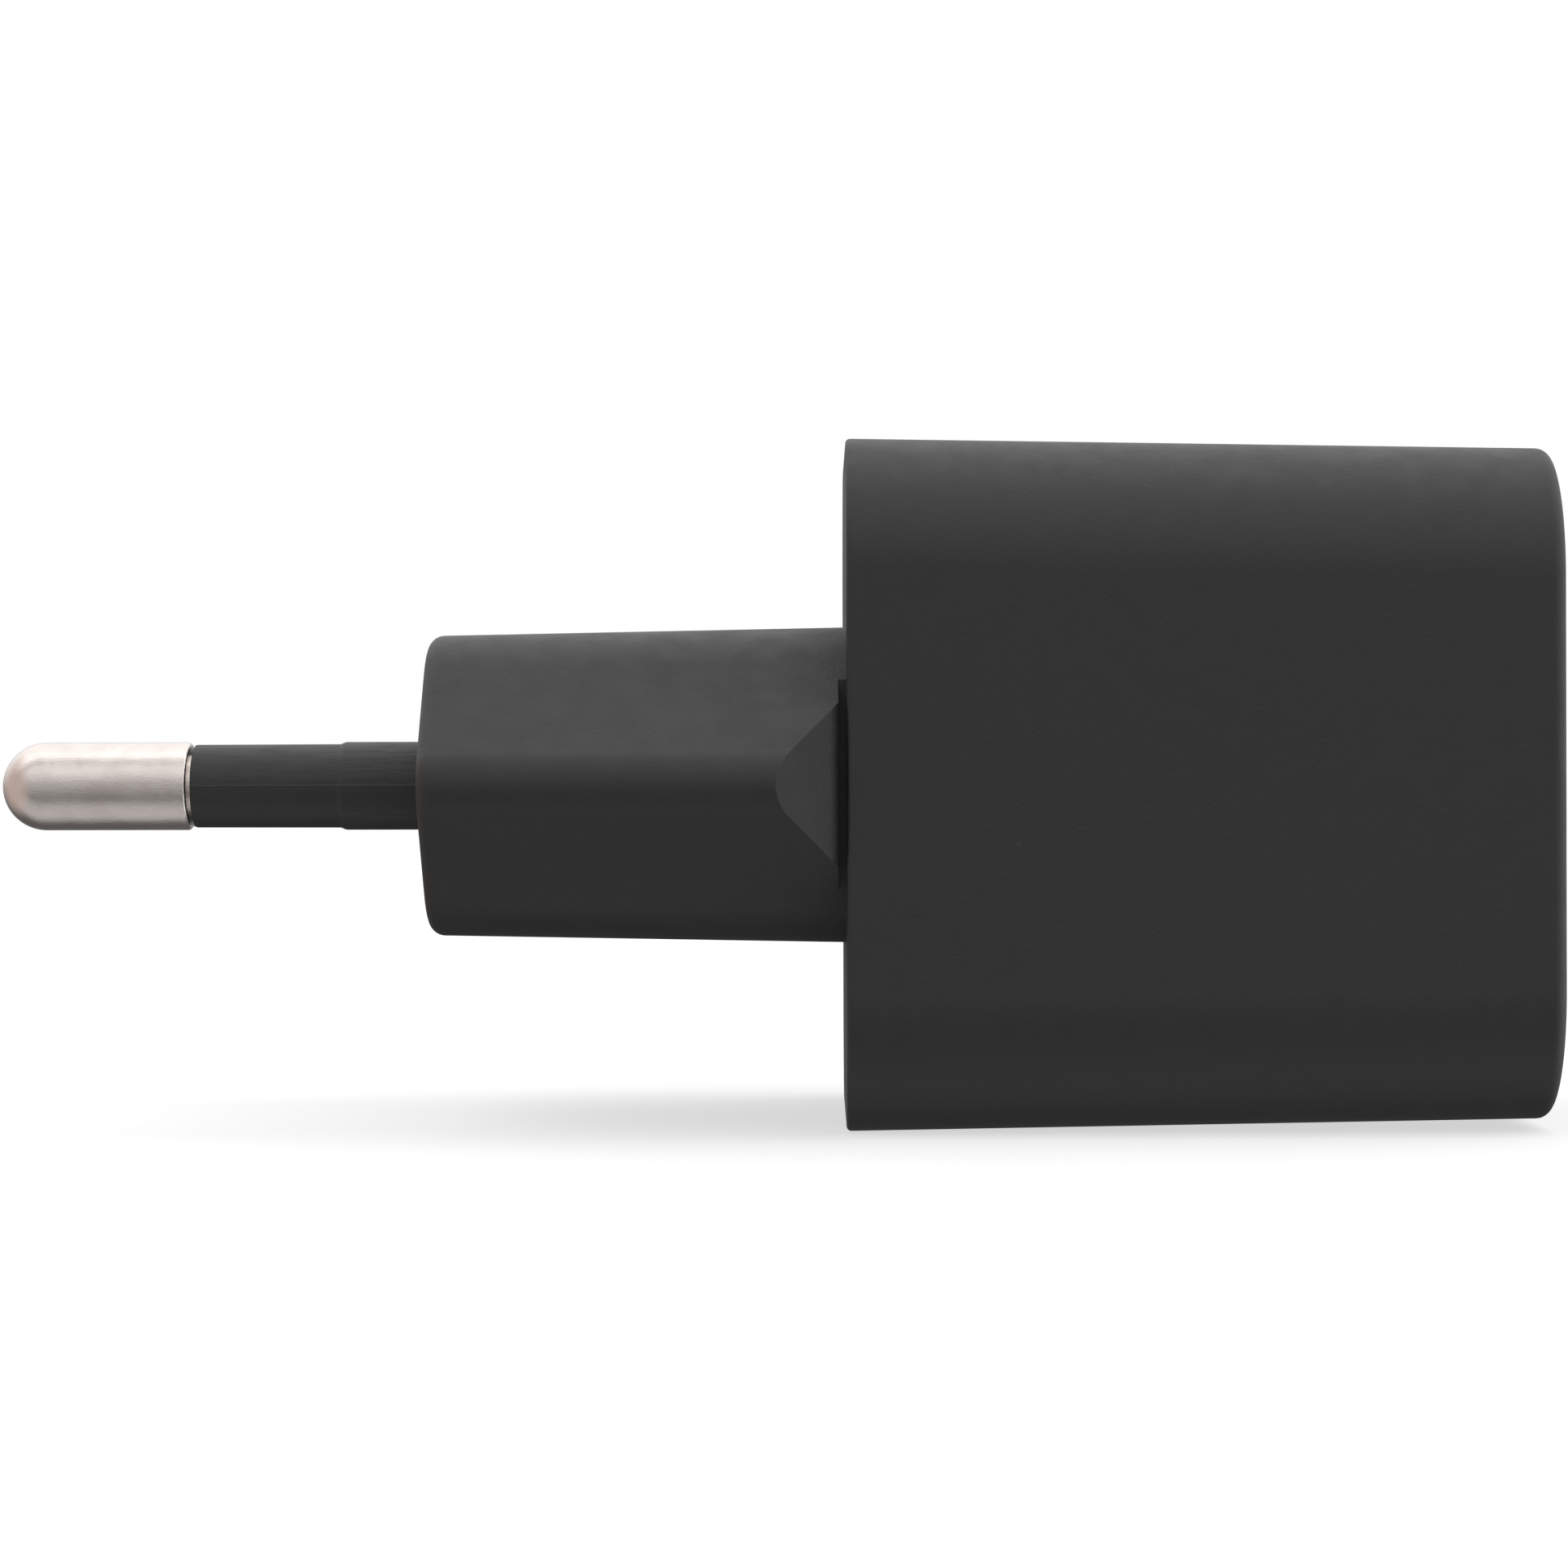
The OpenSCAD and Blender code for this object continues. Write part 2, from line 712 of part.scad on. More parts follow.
// Soft pad between the bridge rectifier and the metal plate.
module thermal_pad() color([0.65, 0.7, 0.78])
    block([bridge_x0 + 0.5, bridge_y + 1.5, -6.5], [bridge_x0 + 7.5, 12.7, -3]);

// ---------------------------------------------------------------- output side

module sync_rectifier() color(chip_black)
    leaded_chip([42.5, 0, board_z - 0.5], [4.9, 3.9, 1], 4, 1.27);

module protocol_controller() color(chip_black)
    block([output_front, -2, -6.4], [output_front + 0.9, 2, -2.4]);

module load_switch() color(chip_black)
    block([output_front, -1.65, 3.4], [output_front + 0.9, 1.65, 6.7]);

// Two upright polymer capacitors beside the socket.
module output_capacitors() color([0.7, 0.71, 0.74]) {
    for (side = [-1, 1])
        translate([output_cap_x, side * output_cap_y, board_top]) difference() {
            cylinder(r = output_cap_r, h = output_cap_h);
            translate([0, 0, 1.6]) rotate_extrude() translate([output_cap_r + 0.15, 0]) circle(r = 0.4);
        }
    for (spot = output_leads) lead(spot, board_top + 0.1);
}

// Small chip resistors and capacitors on both boards.
module chip_components() color([0.62, 0.52, 0.4]) {
    chip = [1.6, 0.8, 0.6];
    for (i = [0:6], side = [-1, 1])
        translate([27 + 2.6 * i, side * 8.2, board_z - chip[2] / 2]) cube(chip, center = true);
    for (i = [0:2], side = [-1, 1])
        translate([output_front + chip[2] / 2, side * (6.5 + 1.6 * i), 5])
            cube([chip[2], chip[1], chip[0]], center = true);
}

// ---------------------------------------------------------------- USB-C socket

// Four solder tabs of the liner, drawn in Y and Z and grown by play.
module liner_tabs(play) {
    for (y = [-3.2, 3.2], side = [-1, 1])
        translate([y, side * (port_h + liner_t) / 2]) square([0.9, liner_t] + [2, 2] * play, center = true);
}

// Stamped metal liner of the socket, open to the front.
module usb_liner() color(steel) {
    translate([output_front, 0, 0]) along_x(liner_x1 - output_front) difference() {
        slot_outline(port_w + 2 * liner_t, port_h + 2 * liner_t);
        slot_outline(port_w, port_h);
    }
    translate([output_x - 0.4, 0, 0]) along_x(output_front - output_x + 0.5) liner_tabs(0);
}

// Moulded base and tongue inside the liner.
module usb_insulator() color(soft_black) {
    translate([output_front, 0, 0]) along_x(insulator_x1 - output_front)
        slot_outline(port_w - 0.02, port_h - 0.02);
    block([insulator_x1 - over, -tongue_half, -tongue_t / 2], [tongue_x1, tongue_half, tongue_t / 2]);
}

// Twelve contacts on each side of the tongue.
module usb_contacts() color(brass) {
    for (i = [0:11], side = [-1, 1]) {
        y = (i - 5.5) * contact_pitch;
        z = side * (tongue_t + contact_t) / 2;
        translate([(insulator_x1 + tongue_x1 - 0.5) / 2, y, z])
            cube([tongue_x1 - 0.5 - insulator_x1, contact_w, contact_t], center = true);
    }
}

main_housing();
front_panel();
plug_housing();
pin_retainer();
retainer_screw();
pin_line();
pin_neutral();
sleeve_line();
sleeve_neutral();
contact_strip_line();
contact_strip_neutral();
main_board();
output_board();
board_link_pins();
solder_joints();
fuse();
varistor();
choke_core();
choke_windings();
bridge_rectifier();
bulk_capacitor_rear();
bulk_capacitor_front();
primary_controller();
safety_capacitor();
optocoupler();
core_lower();
core_upper();
bobbin();
primary_winding();
secondary_winding();
transformer_pins();
core_tape();
insulation_sheet();
heat_spreader();
thermal_pad();
sync_rectifier();
protocol_controller();
load_switch();
output_capacitors();
chip_components();
usb_liner();
usb_insulator();
usb_contacts();
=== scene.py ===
"""Looks of a wall charger with a two-pin plug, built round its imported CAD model.

Shapes are written in millimetres in the CAD frame: +X runs from the wall into the room, the pins lie side
by side along Y, and +Z is up. Every mesh is scaled to metres when it is made.
"""
import json
import math

import bmesh
import bpy
import numpy as np
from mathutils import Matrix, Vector
from mathutils.geometry import tessellate_polygon


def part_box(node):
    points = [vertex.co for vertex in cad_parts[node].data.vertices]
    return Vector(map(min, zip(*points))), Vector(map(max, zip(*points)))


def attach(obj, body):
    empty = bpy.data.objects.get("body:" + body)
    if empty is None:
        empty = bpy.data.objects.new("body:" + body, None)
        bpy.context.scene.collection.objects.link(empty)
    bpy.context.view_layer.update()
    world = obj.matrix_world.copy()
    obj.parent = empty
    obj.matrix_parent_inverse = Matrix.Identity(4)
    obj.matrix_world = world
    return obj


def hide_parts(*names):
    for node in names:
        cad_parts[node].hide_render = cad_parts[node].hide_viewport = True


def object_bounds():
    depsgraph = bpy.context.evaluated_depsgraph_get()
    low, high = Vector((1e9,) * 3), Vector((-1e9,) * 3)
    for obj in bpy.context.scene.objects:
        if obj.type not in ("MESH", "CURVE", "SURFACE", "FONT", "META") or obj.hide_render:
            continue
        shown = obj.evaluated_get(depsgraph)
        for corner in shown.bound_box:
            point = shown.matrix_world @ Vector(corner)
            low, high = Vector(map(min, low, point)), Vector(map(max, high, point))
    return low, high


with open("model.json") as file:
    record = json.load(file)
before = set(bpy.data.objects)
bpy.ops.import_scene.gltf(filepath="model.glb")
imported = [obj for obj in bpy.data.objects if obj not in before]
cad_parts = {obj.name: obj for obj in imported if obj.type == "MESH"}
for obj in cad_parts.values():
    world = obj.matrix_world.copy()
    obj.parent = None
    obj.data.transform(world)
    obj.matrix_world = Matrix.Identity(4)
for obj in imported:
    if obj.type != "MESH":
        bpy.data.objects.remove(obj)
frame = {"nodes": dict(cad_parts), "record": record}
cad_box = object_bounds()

MM = 0.001


def box_mm(node):
    """Lowest and highest corner of a CAD node, in millimetres."""
    low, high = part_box(node)
    return np.array(low) / MM, np.array(high) / MM


# ------------------------------------------------------------------ sizes, from the frame

housing_low, housing_high = box_mm("main_housing")
panel_low, panel_high = box_mm("front_panel")
plug_high = box_mm("plug_housing")[1]
pin_high = box_mm("pin_line")[1]
liner_high = box_mm("usb_liner")[1]
insulator_low, insulator_high = box_mm("usb_insulator")
contacts_low, contacts_high = box_mm("usb_contacts")

# body
BACK_X = housing_low[0]
FRONT_X = housing_high[0]
BACK_HALF = housing_high[2]
BODY_DRAFT = math.radians(0.853)
CORNER_R = 6.0
FRONT_R = 0.6           # sharper than the CAD's 0.8
BACK_R = 0.22
WALL = 1.8
PLATE_T = 2.0
CAVITY_BACK = BACK_X + PLATE_T
RECESS_HALF = 14.65
SEAM = 0.05             # gap between two housings where they meet
SEAM_EDGE = 0.09        # rounding of the edges along a seam

# front panel
PANEL_X = panel_high[0]
PANEL_HALF = panel_high[1]
PANEL_T = 1.9
PANEL_BACK = PANEL_X - PANEL_T
COLLAR_X = panel_low[0]
COLLAR_HALF = (5.5, 3.1)
WINDOW_HALF = (4.6, 1.71)
WINDOW_CHAMFER = 0.35

# stem
STEM_H = 13.6
STEM_W = 37.0
STEM_R = 2.0            # side edges
KNEE_R = 5.5            # edges beside the top and bottom
STEM_DRAFT = math.radians(1.05)
FACE_R = 0.7
FACE_WALL = 2.4
NECK_X = BACK_X - 0.36
NECK_HALF = 14.3
CHAMFER_HALF = 15.35
HOLLOW = ((12.9, 0.0), (12.9, 3.05), (10.95, 5.0), (0.0, 5.0))

# back plate and its skirt
EDGE_HALF = 14.6
SKIRT_X = plug_high[0]
SKIRT_HALF = 13.8
SKIRT_INNER = 12.6

# pins
PIN_SIDES = {"line": 1, "neutral": -1}
PIN_Y = 9.3
PIN_TILT = math.asin(0.55 / 19.5)
PIN_R = 2.0
CORE_R = 1.4
TIP_S = -19.5
SEAT_S = 4.5
TAIL_X = pin_high[0]
METAL_END = -10.88      # where the bare metal stops, just short of its sleeve
SLEEVE_START = -10.7
COLLAR_S = -3.95
BOSS_R = 3.4            # slimmer than the CAD's 3.6; sealed inside
BORE_R = 2.05
RELIEF_R = 2.25
RELIEF_DEPTH = 0.3
SCREW_BOSS_R = 2.4
SCREW_BORE_R = 1.0
SCREW_END_X = 2.0
RETAINER_X = 6.0

# socket
LINER_BACK = insulator_low[0]
LINER_X = liner_high[0]
LINER_HALF = (4.47, 1.58)
PORT_HALF = (4.17, 1.28)
TONGUE_INSET = 0.815     # how much narrower the tongue is than its base, a side
TONGUE_HALF = (insulator_high[1] - TONGUE_INSET, 0.35)
TONGUE_X = insulator_high[0]
TONGUE_ROOT = contacts_low[0]
CONTACT_PITCH = 0.5
CONTACT_HALF = (0.125, 0.03)


def body_half(x):
    """Half width of the body at x: it falls evenly from the back, by the draft angle."""
    return BACK_HALF - (x - BACK_X) * math.tan(BODY_DRAFT)


# ------------------------------------------------------------------ shapes as arrays

ROUND_K = 0.5523        # handle length that makes a cubic Bezier curve a quarter circle


def soften(path, cuts, closed=True, steps=6, guard=0.05):
    """A path of rows with its corners rounded.

    Each corner is cut back by its own length on both sides and bridged by a cubic Bezier curve,
    start (1-t)^3 + corner-side handles 3t(1-t) + end t^3. A guard row just outside each curve keeps the
    straight beside it flat. The cut is measured on the coordinate that changes most.
    """
    path = np.asarray(path, float)
    cuts = np.asarray(cuts, float)[:, None]
    toward = [np.roll(path, 1, axis=0) - path, np.roll(path, -1, axis=0) - path]
    length = [np.abs(step).max(axis=1, keepdims=True) for step in toward]
    start, end = [path + s * np.minimum(cuts / n, 0.46) for s, n in zip(toward, length)]
    far = [path + s * np.minimum((cuts + guard) / n, 0.49) for s, n in zip(toward, length)]
    t = np.linspace(0, 1, steps + 1)[:, None, None]
    handle_in = start + (path - start) * ROUND_K
    handle_out = end + (path - end) * ROUND_K
    curve = ((1 - t) ** 3 * start + 3 * t * (1 - t) ** 2 * handle_in
             + 3 * t ** 2 * (1 - t) * handle_out + t ** 3 * end)
    rows = np.concatenate([far[0][None], curve, far[1][None]]).swapaxes(0, 1)
    if closed:
        return rows.reshape(-1, path.shape[1])
    return np.concatenate([path[:1], rows[1:-1].reshape(-1, path.shape[1]), path[-1:]])


def as_ring(x, outline):
    """Points (x, y, z) of outlines given as complex numbers y + iz."""
    x = np.broadcast_to(np.asarray(x, float), outline.shape)
    return np.stack([x, outline.real, outline.imag], axis=-1)


def rounded_rings(rows, steps=16, guard=0.08):
    """Rings of a rectangle with rounded corners, one for each row (x, half width, half height, radius).

    Each corner is an arc of that radius round a centre set in by the radius, and a guard point beside each
    arc keeps the straights flat.
    """
    x, half_y, half_z, r = [column[:, None] for column in np.asarray(rows, float).T]
    turn = np.concatenate([[0], np.linspace(0, np.pi / 2, steps + 1), [np.pi / 2]])
    slide = np.concatenate([[-1], np.zeros(steps + 1), [1]])
    quarter = np.arange(4)[:, None]
    angle = (turn + quarter * np.pi / 2).ravel()
    sign = np.exp(1j * (quarter + 0.5) * np.pi / 2) * math.sqrt(2)
    sign_y, sign_z = [np.repeat(part, len(turn)) for part in (sign.real, sign.imag)]
    guard = np.minimum(guard, 0.4 * np.minimum(half_y - r, half_z - r))
    reach = r + 1j * guard * np.tile(slide, 4)
    return as_ring(x, sign_y * (half_y - r) + 1j * sign_z * (half_z - r) + reach * np.exp(1j * angle))


def mirrored(quarter):
    """A closed outline from its quarter between +Y and +Z, as complex numbers y + iz."""
    left = -np.conj(quarter[..., ::-1])[..., 1:]
    return np.concatenate([quarter, left, -quarter[..., 1:], np.conj(quarter[..., ::-1])[..., 1:-1]], axis=-1)


def skin(rings, wrap=False):
    """Points and quads of a grid of rings, each closed on itself; wrap joins the last ring to the first."""
    rows, columns = rings.shape[:2]
    index = np.arange(rows * columns).reshape(rows, columns)
    below = np.roll(index, -1, axis=0) if wrap else index[1:]
    here = index if wrap else index[:-1]
    quads = np.stack([here, np.roll(here, -1, axis=1), np.roll(below, -1, axis=1), below], axis=-1)
    return rings.reshape(-1, 3), quads.reshape(-1, 4)


def flat(outer, *holes):
    """A flat face inside the outer ring and outside the rings of its holes."""
    loops = [outer, *holes]
    triangles = tessellate_polygon([[Vector(point) for point in loop] for loop in loops])
    return np.concatenate(loops), np.array(triangles)


def make_piece(name, parts, slot, stands_for, sharp=32):
    """One closed mesh from its grids and flat faces, in place, riding on the CAD body.

    Points that coincide are merged, faces are turned outwards, and edges sharper than the limit in degrees
    keep a crisp line.
    """
    points, faces, first = [], [], 0
    for part_points, part_faces in parts:
        points.append(part_points)
        faces += (part_faces + first).tolist()
        first += len(part_points)
    mesh = bpy.data.meshes.new(name)
    mesh.from_pydata(np.concatenate(points) * MM, [], faces)
    shell = bmesh.new()
    shell.from_mesh(mesh)
    bmesh.ops.remove_doubles(shell, verts=shell.verts, dist=2e-7)
    bmesh.ops.dissolve_degenerate(shell, edges=shell.edges, dist=1e-8)
    bmesh.ops.recalc_face_normals(shell, faces=shell.faces)
    shell.to_mesh(mesh)
    shell.free()
    mesh.shade_smooth()
    mesh.set_sharp_from_angle(angle=math.radians(sharp))
    piece = bpy.data.objects.new(name, mesh)
    bpy.context.scene.collection.objects.link(piece)
    mesh.materials.append(FINISHES[slot])
    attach(piece, "root")
    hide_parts(stands_for)


# ------------------------------------------------------------------ shader node helpers

MIX_FACTOR, MIX_A, MIX_B, MIX_RESULT = 0, 6, 7, 2      # sockets of a Mix node set to colour


class Tree:
    """A shader node tree that is filled by short calls."""

    def __init__(self, tree):
        self.tree = tree

    def add(self, kind, inputs=(), **settings):
        """A new node with its settings; each input is set to a value or joined to a socket."""
        node = self.tree.nodes.new("ShaderNode" + kind)
        for name, value in settings.items():
            setattr(node, name, value)
        for key, value in dict(inputs).items():
            self.feed(node.inputs[key], value)
        return node

    def feed(self, socket, value):
        if isinstance(value, bpy.types.NodeSocket):
            self.tree.links.new(value, socket)
        else:
            socket.default_value = value

    def math(self, operation, a, b=0.0):
        return self.add("Math", {0: a, 1: b}, operation=operation).outputs[0]

    def spread(self, value, low, high, to_low=0.0, to_high=1.0):
        """The value carried from one range to another, and held at its ends."""
        ends = {"Value": value, "From Min": low, "From Max": high, "To Min": to_low, "To Max": to_high}
        return self.add("MapRange", ends).outputs["Result"]

    def mix(self, factor, a, b):
        """A colour between a and b."""
        node = self.add("Mix", {MIX_FACTOR: factor, MIX_A: a, MIX_B: b}, data_type="RGBA")
        return node.outputs[MIX_RESULT]

    def noise(self, place, scale, detail=2.0):
        return self.add("TexNoise", {"Vector": place, "Scale": scale, "Detail": detail}).outputs["Fac"]


def new_group(name, inputs, outputs):
    """An empty node group with named sockets: its tree, its inputs and a call that sets an output."""
    group = bpy.data.node_groups.new(name, "ShaderNodeTree")
    for direction, sockets in (("INPUT", inputs), ("OUTPUT", outputs)):
        for socket, kind in sockets.items():
            group.interface.new_socket(socket, in_out=direction, socket_type="NodeSocket" + kind)
    tree = Tree(group)
    given = group.nodes.new("NodeGroupInput").outputs
    result = group.nodes.new("NodeGroupOutput").inputs
    return tree, given, result


def moulded_grain_group():
    """Moulded grain: soft random pits of one size, over a swell eight times as wide."""
    tree, given, result = new_group("moulded_grain", {"Place": "Vector", "Size": "Float"},
                                    {"Height": "Float", "Cloud": "Float"})
    scale = tree.math("DIVIDE", 1.0, given["Size"])
    fine = tree.noise(given["Place"], scale)
    swell = tree.noise(given["Place"], tree.math("MULTIPLY", scale, 0.125))
    tree.feed(result["Height"], tree.math("ADD", fine, tree.math("MULTIPLY", swell, 0.7)))
    tree.feed(result["Cloud"], swell)
    return tree.tree


def specks_group():
    """Sparse dust specks: the middle of a few cells of a random net."""
    tree, given, result = new_group("specks", {"Place": "Vector", "Spacing": "Float", "Share": "Float"},
                                    {"Mask": "Float"})
    scale = tree.math("DIVIDE", 1.0, given["Spacing"])
    net = tree.add("TexVoronoi", {"Vector": given["Place"], "Scale": scale})
    near = tree.spread(net.outputs["Distance"], 0.03, 0.09, 1.0, 0.0)
    chosen = tree.math("LESS_THAN", tree.add("SeparateColor", {0: net.outputs["Color"]}).outputs[0],
                       given["Share"])
    tree.feed(result["Mask"], tree.math("MULTIPLY", near, chosen))
    return tree.tree


def rub_marks_group():
    """Rub marks: noise pulled out along one axis and thinned to narrow lines."""
    tree, given, result = new_group("rub_marks", {"Place": "Vector", "Stretch": "Vector", "Scale": "Float",
                                                  "Width": "Float"}, {"Mask": "Float"})
    pulled = tree.add("VectorMath", {0: given["Place"], 1: given["Stretch"]}, operation="MULTIPLY").outputs[0]
    value = tree.noise(pulled, given["Scale"], 3.0)
    off_middle = tree.math("ABSOLUTE", tree.math("SUBTRACT", value, 0.5))
    tree.feed(result["Mask"], tree.spread(off_middle, 0.0, given["Width"], 1.0, 0.0))
    return tree.tree


def bands_group():
    """Even bands across one axis, such as turns of wire or tape, with a slight random waver."""
    tree, given, result = new_group("bands", {"Place": "Vector", "Axis": "Vector", "Pitch": "Float",
                                              "Waver": "Float"}, {"Height": "Float"})
    along = tree.add("VectorMath", {0: given["Place"], 1: given["Axis"]}, operation="DOT_PRODUCT")
    turns = tree.math("DIVIDE", along.outputs["Value"], given["Pitch"])
    waver = tree.math("MULTIPLY", tree.noise(given["Place"], 900.0), given["Waver"])
    phase = tree.math("MULTIPLY", tree.math("ADD", turns, waver), 2 * math.pi)
    tree.feed(result["Height"], tree.spread(tree.math("SINE", phase), -1.0, 1.0))
    return tree.tree


GROUPS = {group.name: group for group in
          (moulded_grain_group(), specks_group(), rub_marks_group(), bands_group())}


class Finish(Tree):
    """A material with one Principled shader whose patterns read Object coordinates."""

    def __init__(self, name, **constants):
        self.material = bpy.data.materials.new(name)
        self.material.use_nodes = True
        super().__init__(self.material.node_tree)
        self.shader = self.tree.nodes["Principled BSDF"]
        self.place = self.add("TexCoord").outputs["Object"]
        for key, value in constants.items():
            self.shader.inputs[key.replace("_", " ")].default_value = value

    def group(self, name, **inputs):
        """One of the shared groups, with this material's own values."""
        node = self.add("Group", node_tree=GROUPS[name])
        self.feed(node.inputs["Place"], self.place)
        for key, value in inputs.items():
            self.feed(node.inputs[key], value)
        return node.outputs

    def colour(self, value):
        self.feed(self.shader.inputs["Base Color"], value)

    def roughness(self, value):
        self.feed(self.shader.inputs["Roughness"], value)

    def bump(self, height, depth, strength=1.0):
        """Relief of that depth in metres, added on top of any relief already there."""
        node = self.add("Bump", {"Height": height, "Distance": depth, "Strength": strength})
        before = self.shader.inputs["Normal"]
        if before.is_linked:
            self.feed(node.inputs["Normal"], before.links[0].from_socket)
        self.feed(before, node.outputs["Normal"])


def grey(level, warmth=0.0):
    """A linear grey, slightly warmer or cooler."""
    return (level * (1 + warmth), level, level * (1 - warmth), 1)


# ------------------------------------------------------------------ finishes

def housing_plastic():
    """Charcoal moulded plastic: matt, with a fine spark-eroded grain, a faint cloud and rare dust."""
    finish = Finish("housing_plastic", IOR=1.6)
    grain = finish.group("moulded_grain", Size=0.16 * MM)
    finish.bump(grain["Height"], 0.014 * MM)
    dust = finish.group("specks", Spacing=2.4 * MM, Share=0.05)["Mask"]
    cloud = finish.mix(finish.spread(grain["Cloud"], 0.3, 0.7), grey(0.0075), grey(0.0095))
    finish.colour(finish.mix(finish.math("MULTIPLY", dust, 0.5), cloud, grey(0.08)))
    finish.roughness(finish.spread(grain["Cloud"], 0.3, 0.7, 0.50, 0.58))
    return finish.material


def sleeve_plastic():
    """Black insulating plastic of the pin sleeves: smoother than the housing, with faint draw lines."""
    finish = Finish("sleeve_plastic", IOR=1.6)
    grain = finish.group("moulded_grain", Size=0.22 * MM)
    marks = finish.group("rub_marks", Stretch=(0.06, 1, 1), Scale=3800.0, Width=0.06)["Mask"]
    finish.bump(grain["Height"], 0.008 * MM)
    finish.bump(marks, 0.003 * MM)
    finish.colour(finish.mix(finish.spread(grain["Cloud"], 0.3, 0.7), grey(0.0075), grey(0.010)))
    finish.roughness(finish.spread(marks, 0.0, 1.0, 0.50, 0.60))
    return finish.material


def plated_pin():
    """Nickel-plated brass: a satin polish, fine lines along the pin and small pits."""
    finish = Finish("plated_pin", Metallic=1.0)
    grain = finish.group("moulded_grain", Size=0.12 * MM)
    lines = finish.group("rub_marks", Stretch=(0.12, 1, 1), Scale=5200.0, Width=0.08)["Mask"]
    pits = finish.group("specks", Spacing=0.9 * MM, Share=0.16)["Mask"]
    finish.bump(grain["Height"], 0.006 * MM)
    finish.bump(finish.math("ADD", lines, finish.math("MULTIPLY", pits, -2.0)), 0.0015 * MM)
    cloud = finish.spread(grain["Cloud"], 0.35, 0.65)
    tone = finish.mix(cloud, (0.69, 0.62, 0.585, 1), (0.75, 0.685, 0.65, 1))
    finish.colour(finish.mix(finish.math("MULTIPLY", pits, 0.5), tone, (0.30, 0.25, 0.20, 1)))
    finish.roughness(finish.spread(grain["Cloud"], 0.3, 0.7, 0.13, 0.22))
    return finish.material


def stamped_steel():
    """Stamped steel with a dull nickel coat and rolling lines."""
    finish = Finish("stamped_steel", Metallic=1.0)
    cloud = finish.group("moulded_grain", Size=0.3 * MM)
    lines = finish.group("rub_marks", Stretch=(0.05, 1, 1), Scale=6000.0, Width=0.07)["Mask"]
    finish.bump(lines, 0.002 * MM)
    finish.colour(finish.mix(finish.spread(cloud["Cloud"], 0.3, 0.7), grey(0.55, 0.02), grey(0.68, 0.01)))
    finish.roughness(finish.spread(lines, 0.0, 1.0, 0.26, 0.40))
    return finish.material


def contact_brass():
    """Gold-plated brass, brighter where it was drawn."""
    finish = Finish("contact_brass", Metallic=1.0)
    cloud = finish.group("moulded_grain", Size=0.2 * MM)
    lines = finish.group("rub_marks", Stretch=(0.05, 1, 1), Scale=7000.0, Width=0.06)["Mask"]
    finish.bump(lines, 0.0015 * MM)
    tone = finish.spread(cloud["Cloud"], 0.3, 0.7)
    finish.colour(finish.mix(tone, (0.78, 0.53, 0.20, 1), (0.88, 0.66, 0.30, 1)))
    finish.roughness(finish.spread(lines, 0.0, 1.0, 0.22, 0.34))
    return finish.material


def socket_resin():
    """Black glass-filled resin of the socket's tongue, with its fibres just showing."""
    finish = Finish("socket_resin", IOR=1.55)
    grain = finish.group("moulded_grain", Size=0.1 * MM)
    fibres = finish.group("rub_marks", Stretch=(0.1, 1, 0.6), Scale=6000.0, Width=0.03)["Mask"]
    finish.bump(grain["Height"], 0.005 * MM)
    finish.colour(finish.mix(finish.math("MULTIPLY", fibres, 0.5), grey(0.012), grey(0.05)))
    finish.roughness(finish.spread(grain["Cloud"], 0.3, 0.7, 0.42, 0.52))
    return finish.material


def circuit_board():
    """Green solder mask over copper tracks, which show as raised paler bands."""
    finish = Finish("circuit_board", IOR=1.5, Coat_Weight=0.4, Coat_Roughness=0.15)
    tracks = finish.group("rub_marks", Stretch=(0.4, 1, 0.2), Scale=500.0, Width=0.05)["Mask"]
    weave = finish.group("bands", Axis=(0.7, 0.7, 0.7), Pitch=0.35 * MM, Waver=0.2)["Height"]
    finish.bump(tracks, 0.03 * MM)
    finish.bump(weave, 0.004 * MM)
    finish.colour(finish.mix(tracks, (0.012, 0.085, 0.035, 1), (0.03, 0.17, 0.07, 1)))
    finish.roughness(finish.spread(weave, 0.0, 1.0, 0.3, 0.4))
    return finish.material


def mottled(name, dark, light, size, roughness, depth, metallic=0.0, speck=None):
    """A surface that wavers between two colours, with relief of the same grain and maybe coloured specks."""
    finish = Finish(name, Metallic=metallic)
    grain = finish.group("moulded_grain", Size=size * MM)
    colour = finish.mix(finish.spread(grain["Cloud"], 0.3, 0.7), dark, light)
    if speck:
        mask = finish.group("specks", Spacing=4 * size * MM, Share=0.35)["Mask"]
        colour = finish.mix(mask, colour, speck)
    finish.colour(colour)
    finish.bump(grain["Height"], depth * MM)
    finish.roughness(finish.spread(grain["Cloud"], 0.3, 0.7, roughness - 0.06, roughness + 0.06))
    return finish.material


def wound(name, dark, light, axis, pitch, roughness, depth, metallic=0.0):
    """A surface of even turns or layers across one axis, with painted shade that darkens the gaps between
    them.
    """
    finish = Finish(name, Metallic=metallic)
    turns = finish.group("bands", Axis=axis, Pitch=pitch * MM, Waver=0.15)["Height"]
    grain = finish.group("moulded_grain", Size=0.3 * MM)
    # painted shade: the colour follows the relief's bands, and the dark colour fills the gaps between turns
    colour = finish.mix(turns, dark, light)
    finish.colour(finish.mix(finish.spread(grain["Cloud"], 0.35, 0.65, 0.0, 0.25), colour, dark))
    finish.bump(turns, depth * MM)
    finish.roughness(finish.spread(grain["Cloud"], 0.3, 0.7, roughness - 0.05, roughness + 0.05))
    return finish.material


def solder():
    """Bright tin solder, slightly frosted."""
    return mottled("solder", (0.55, 0.56, 0.57, 1), (0.72, 0.73, 0.74, 1), 0.15, 0.30, 0.01, metallic=1.0)


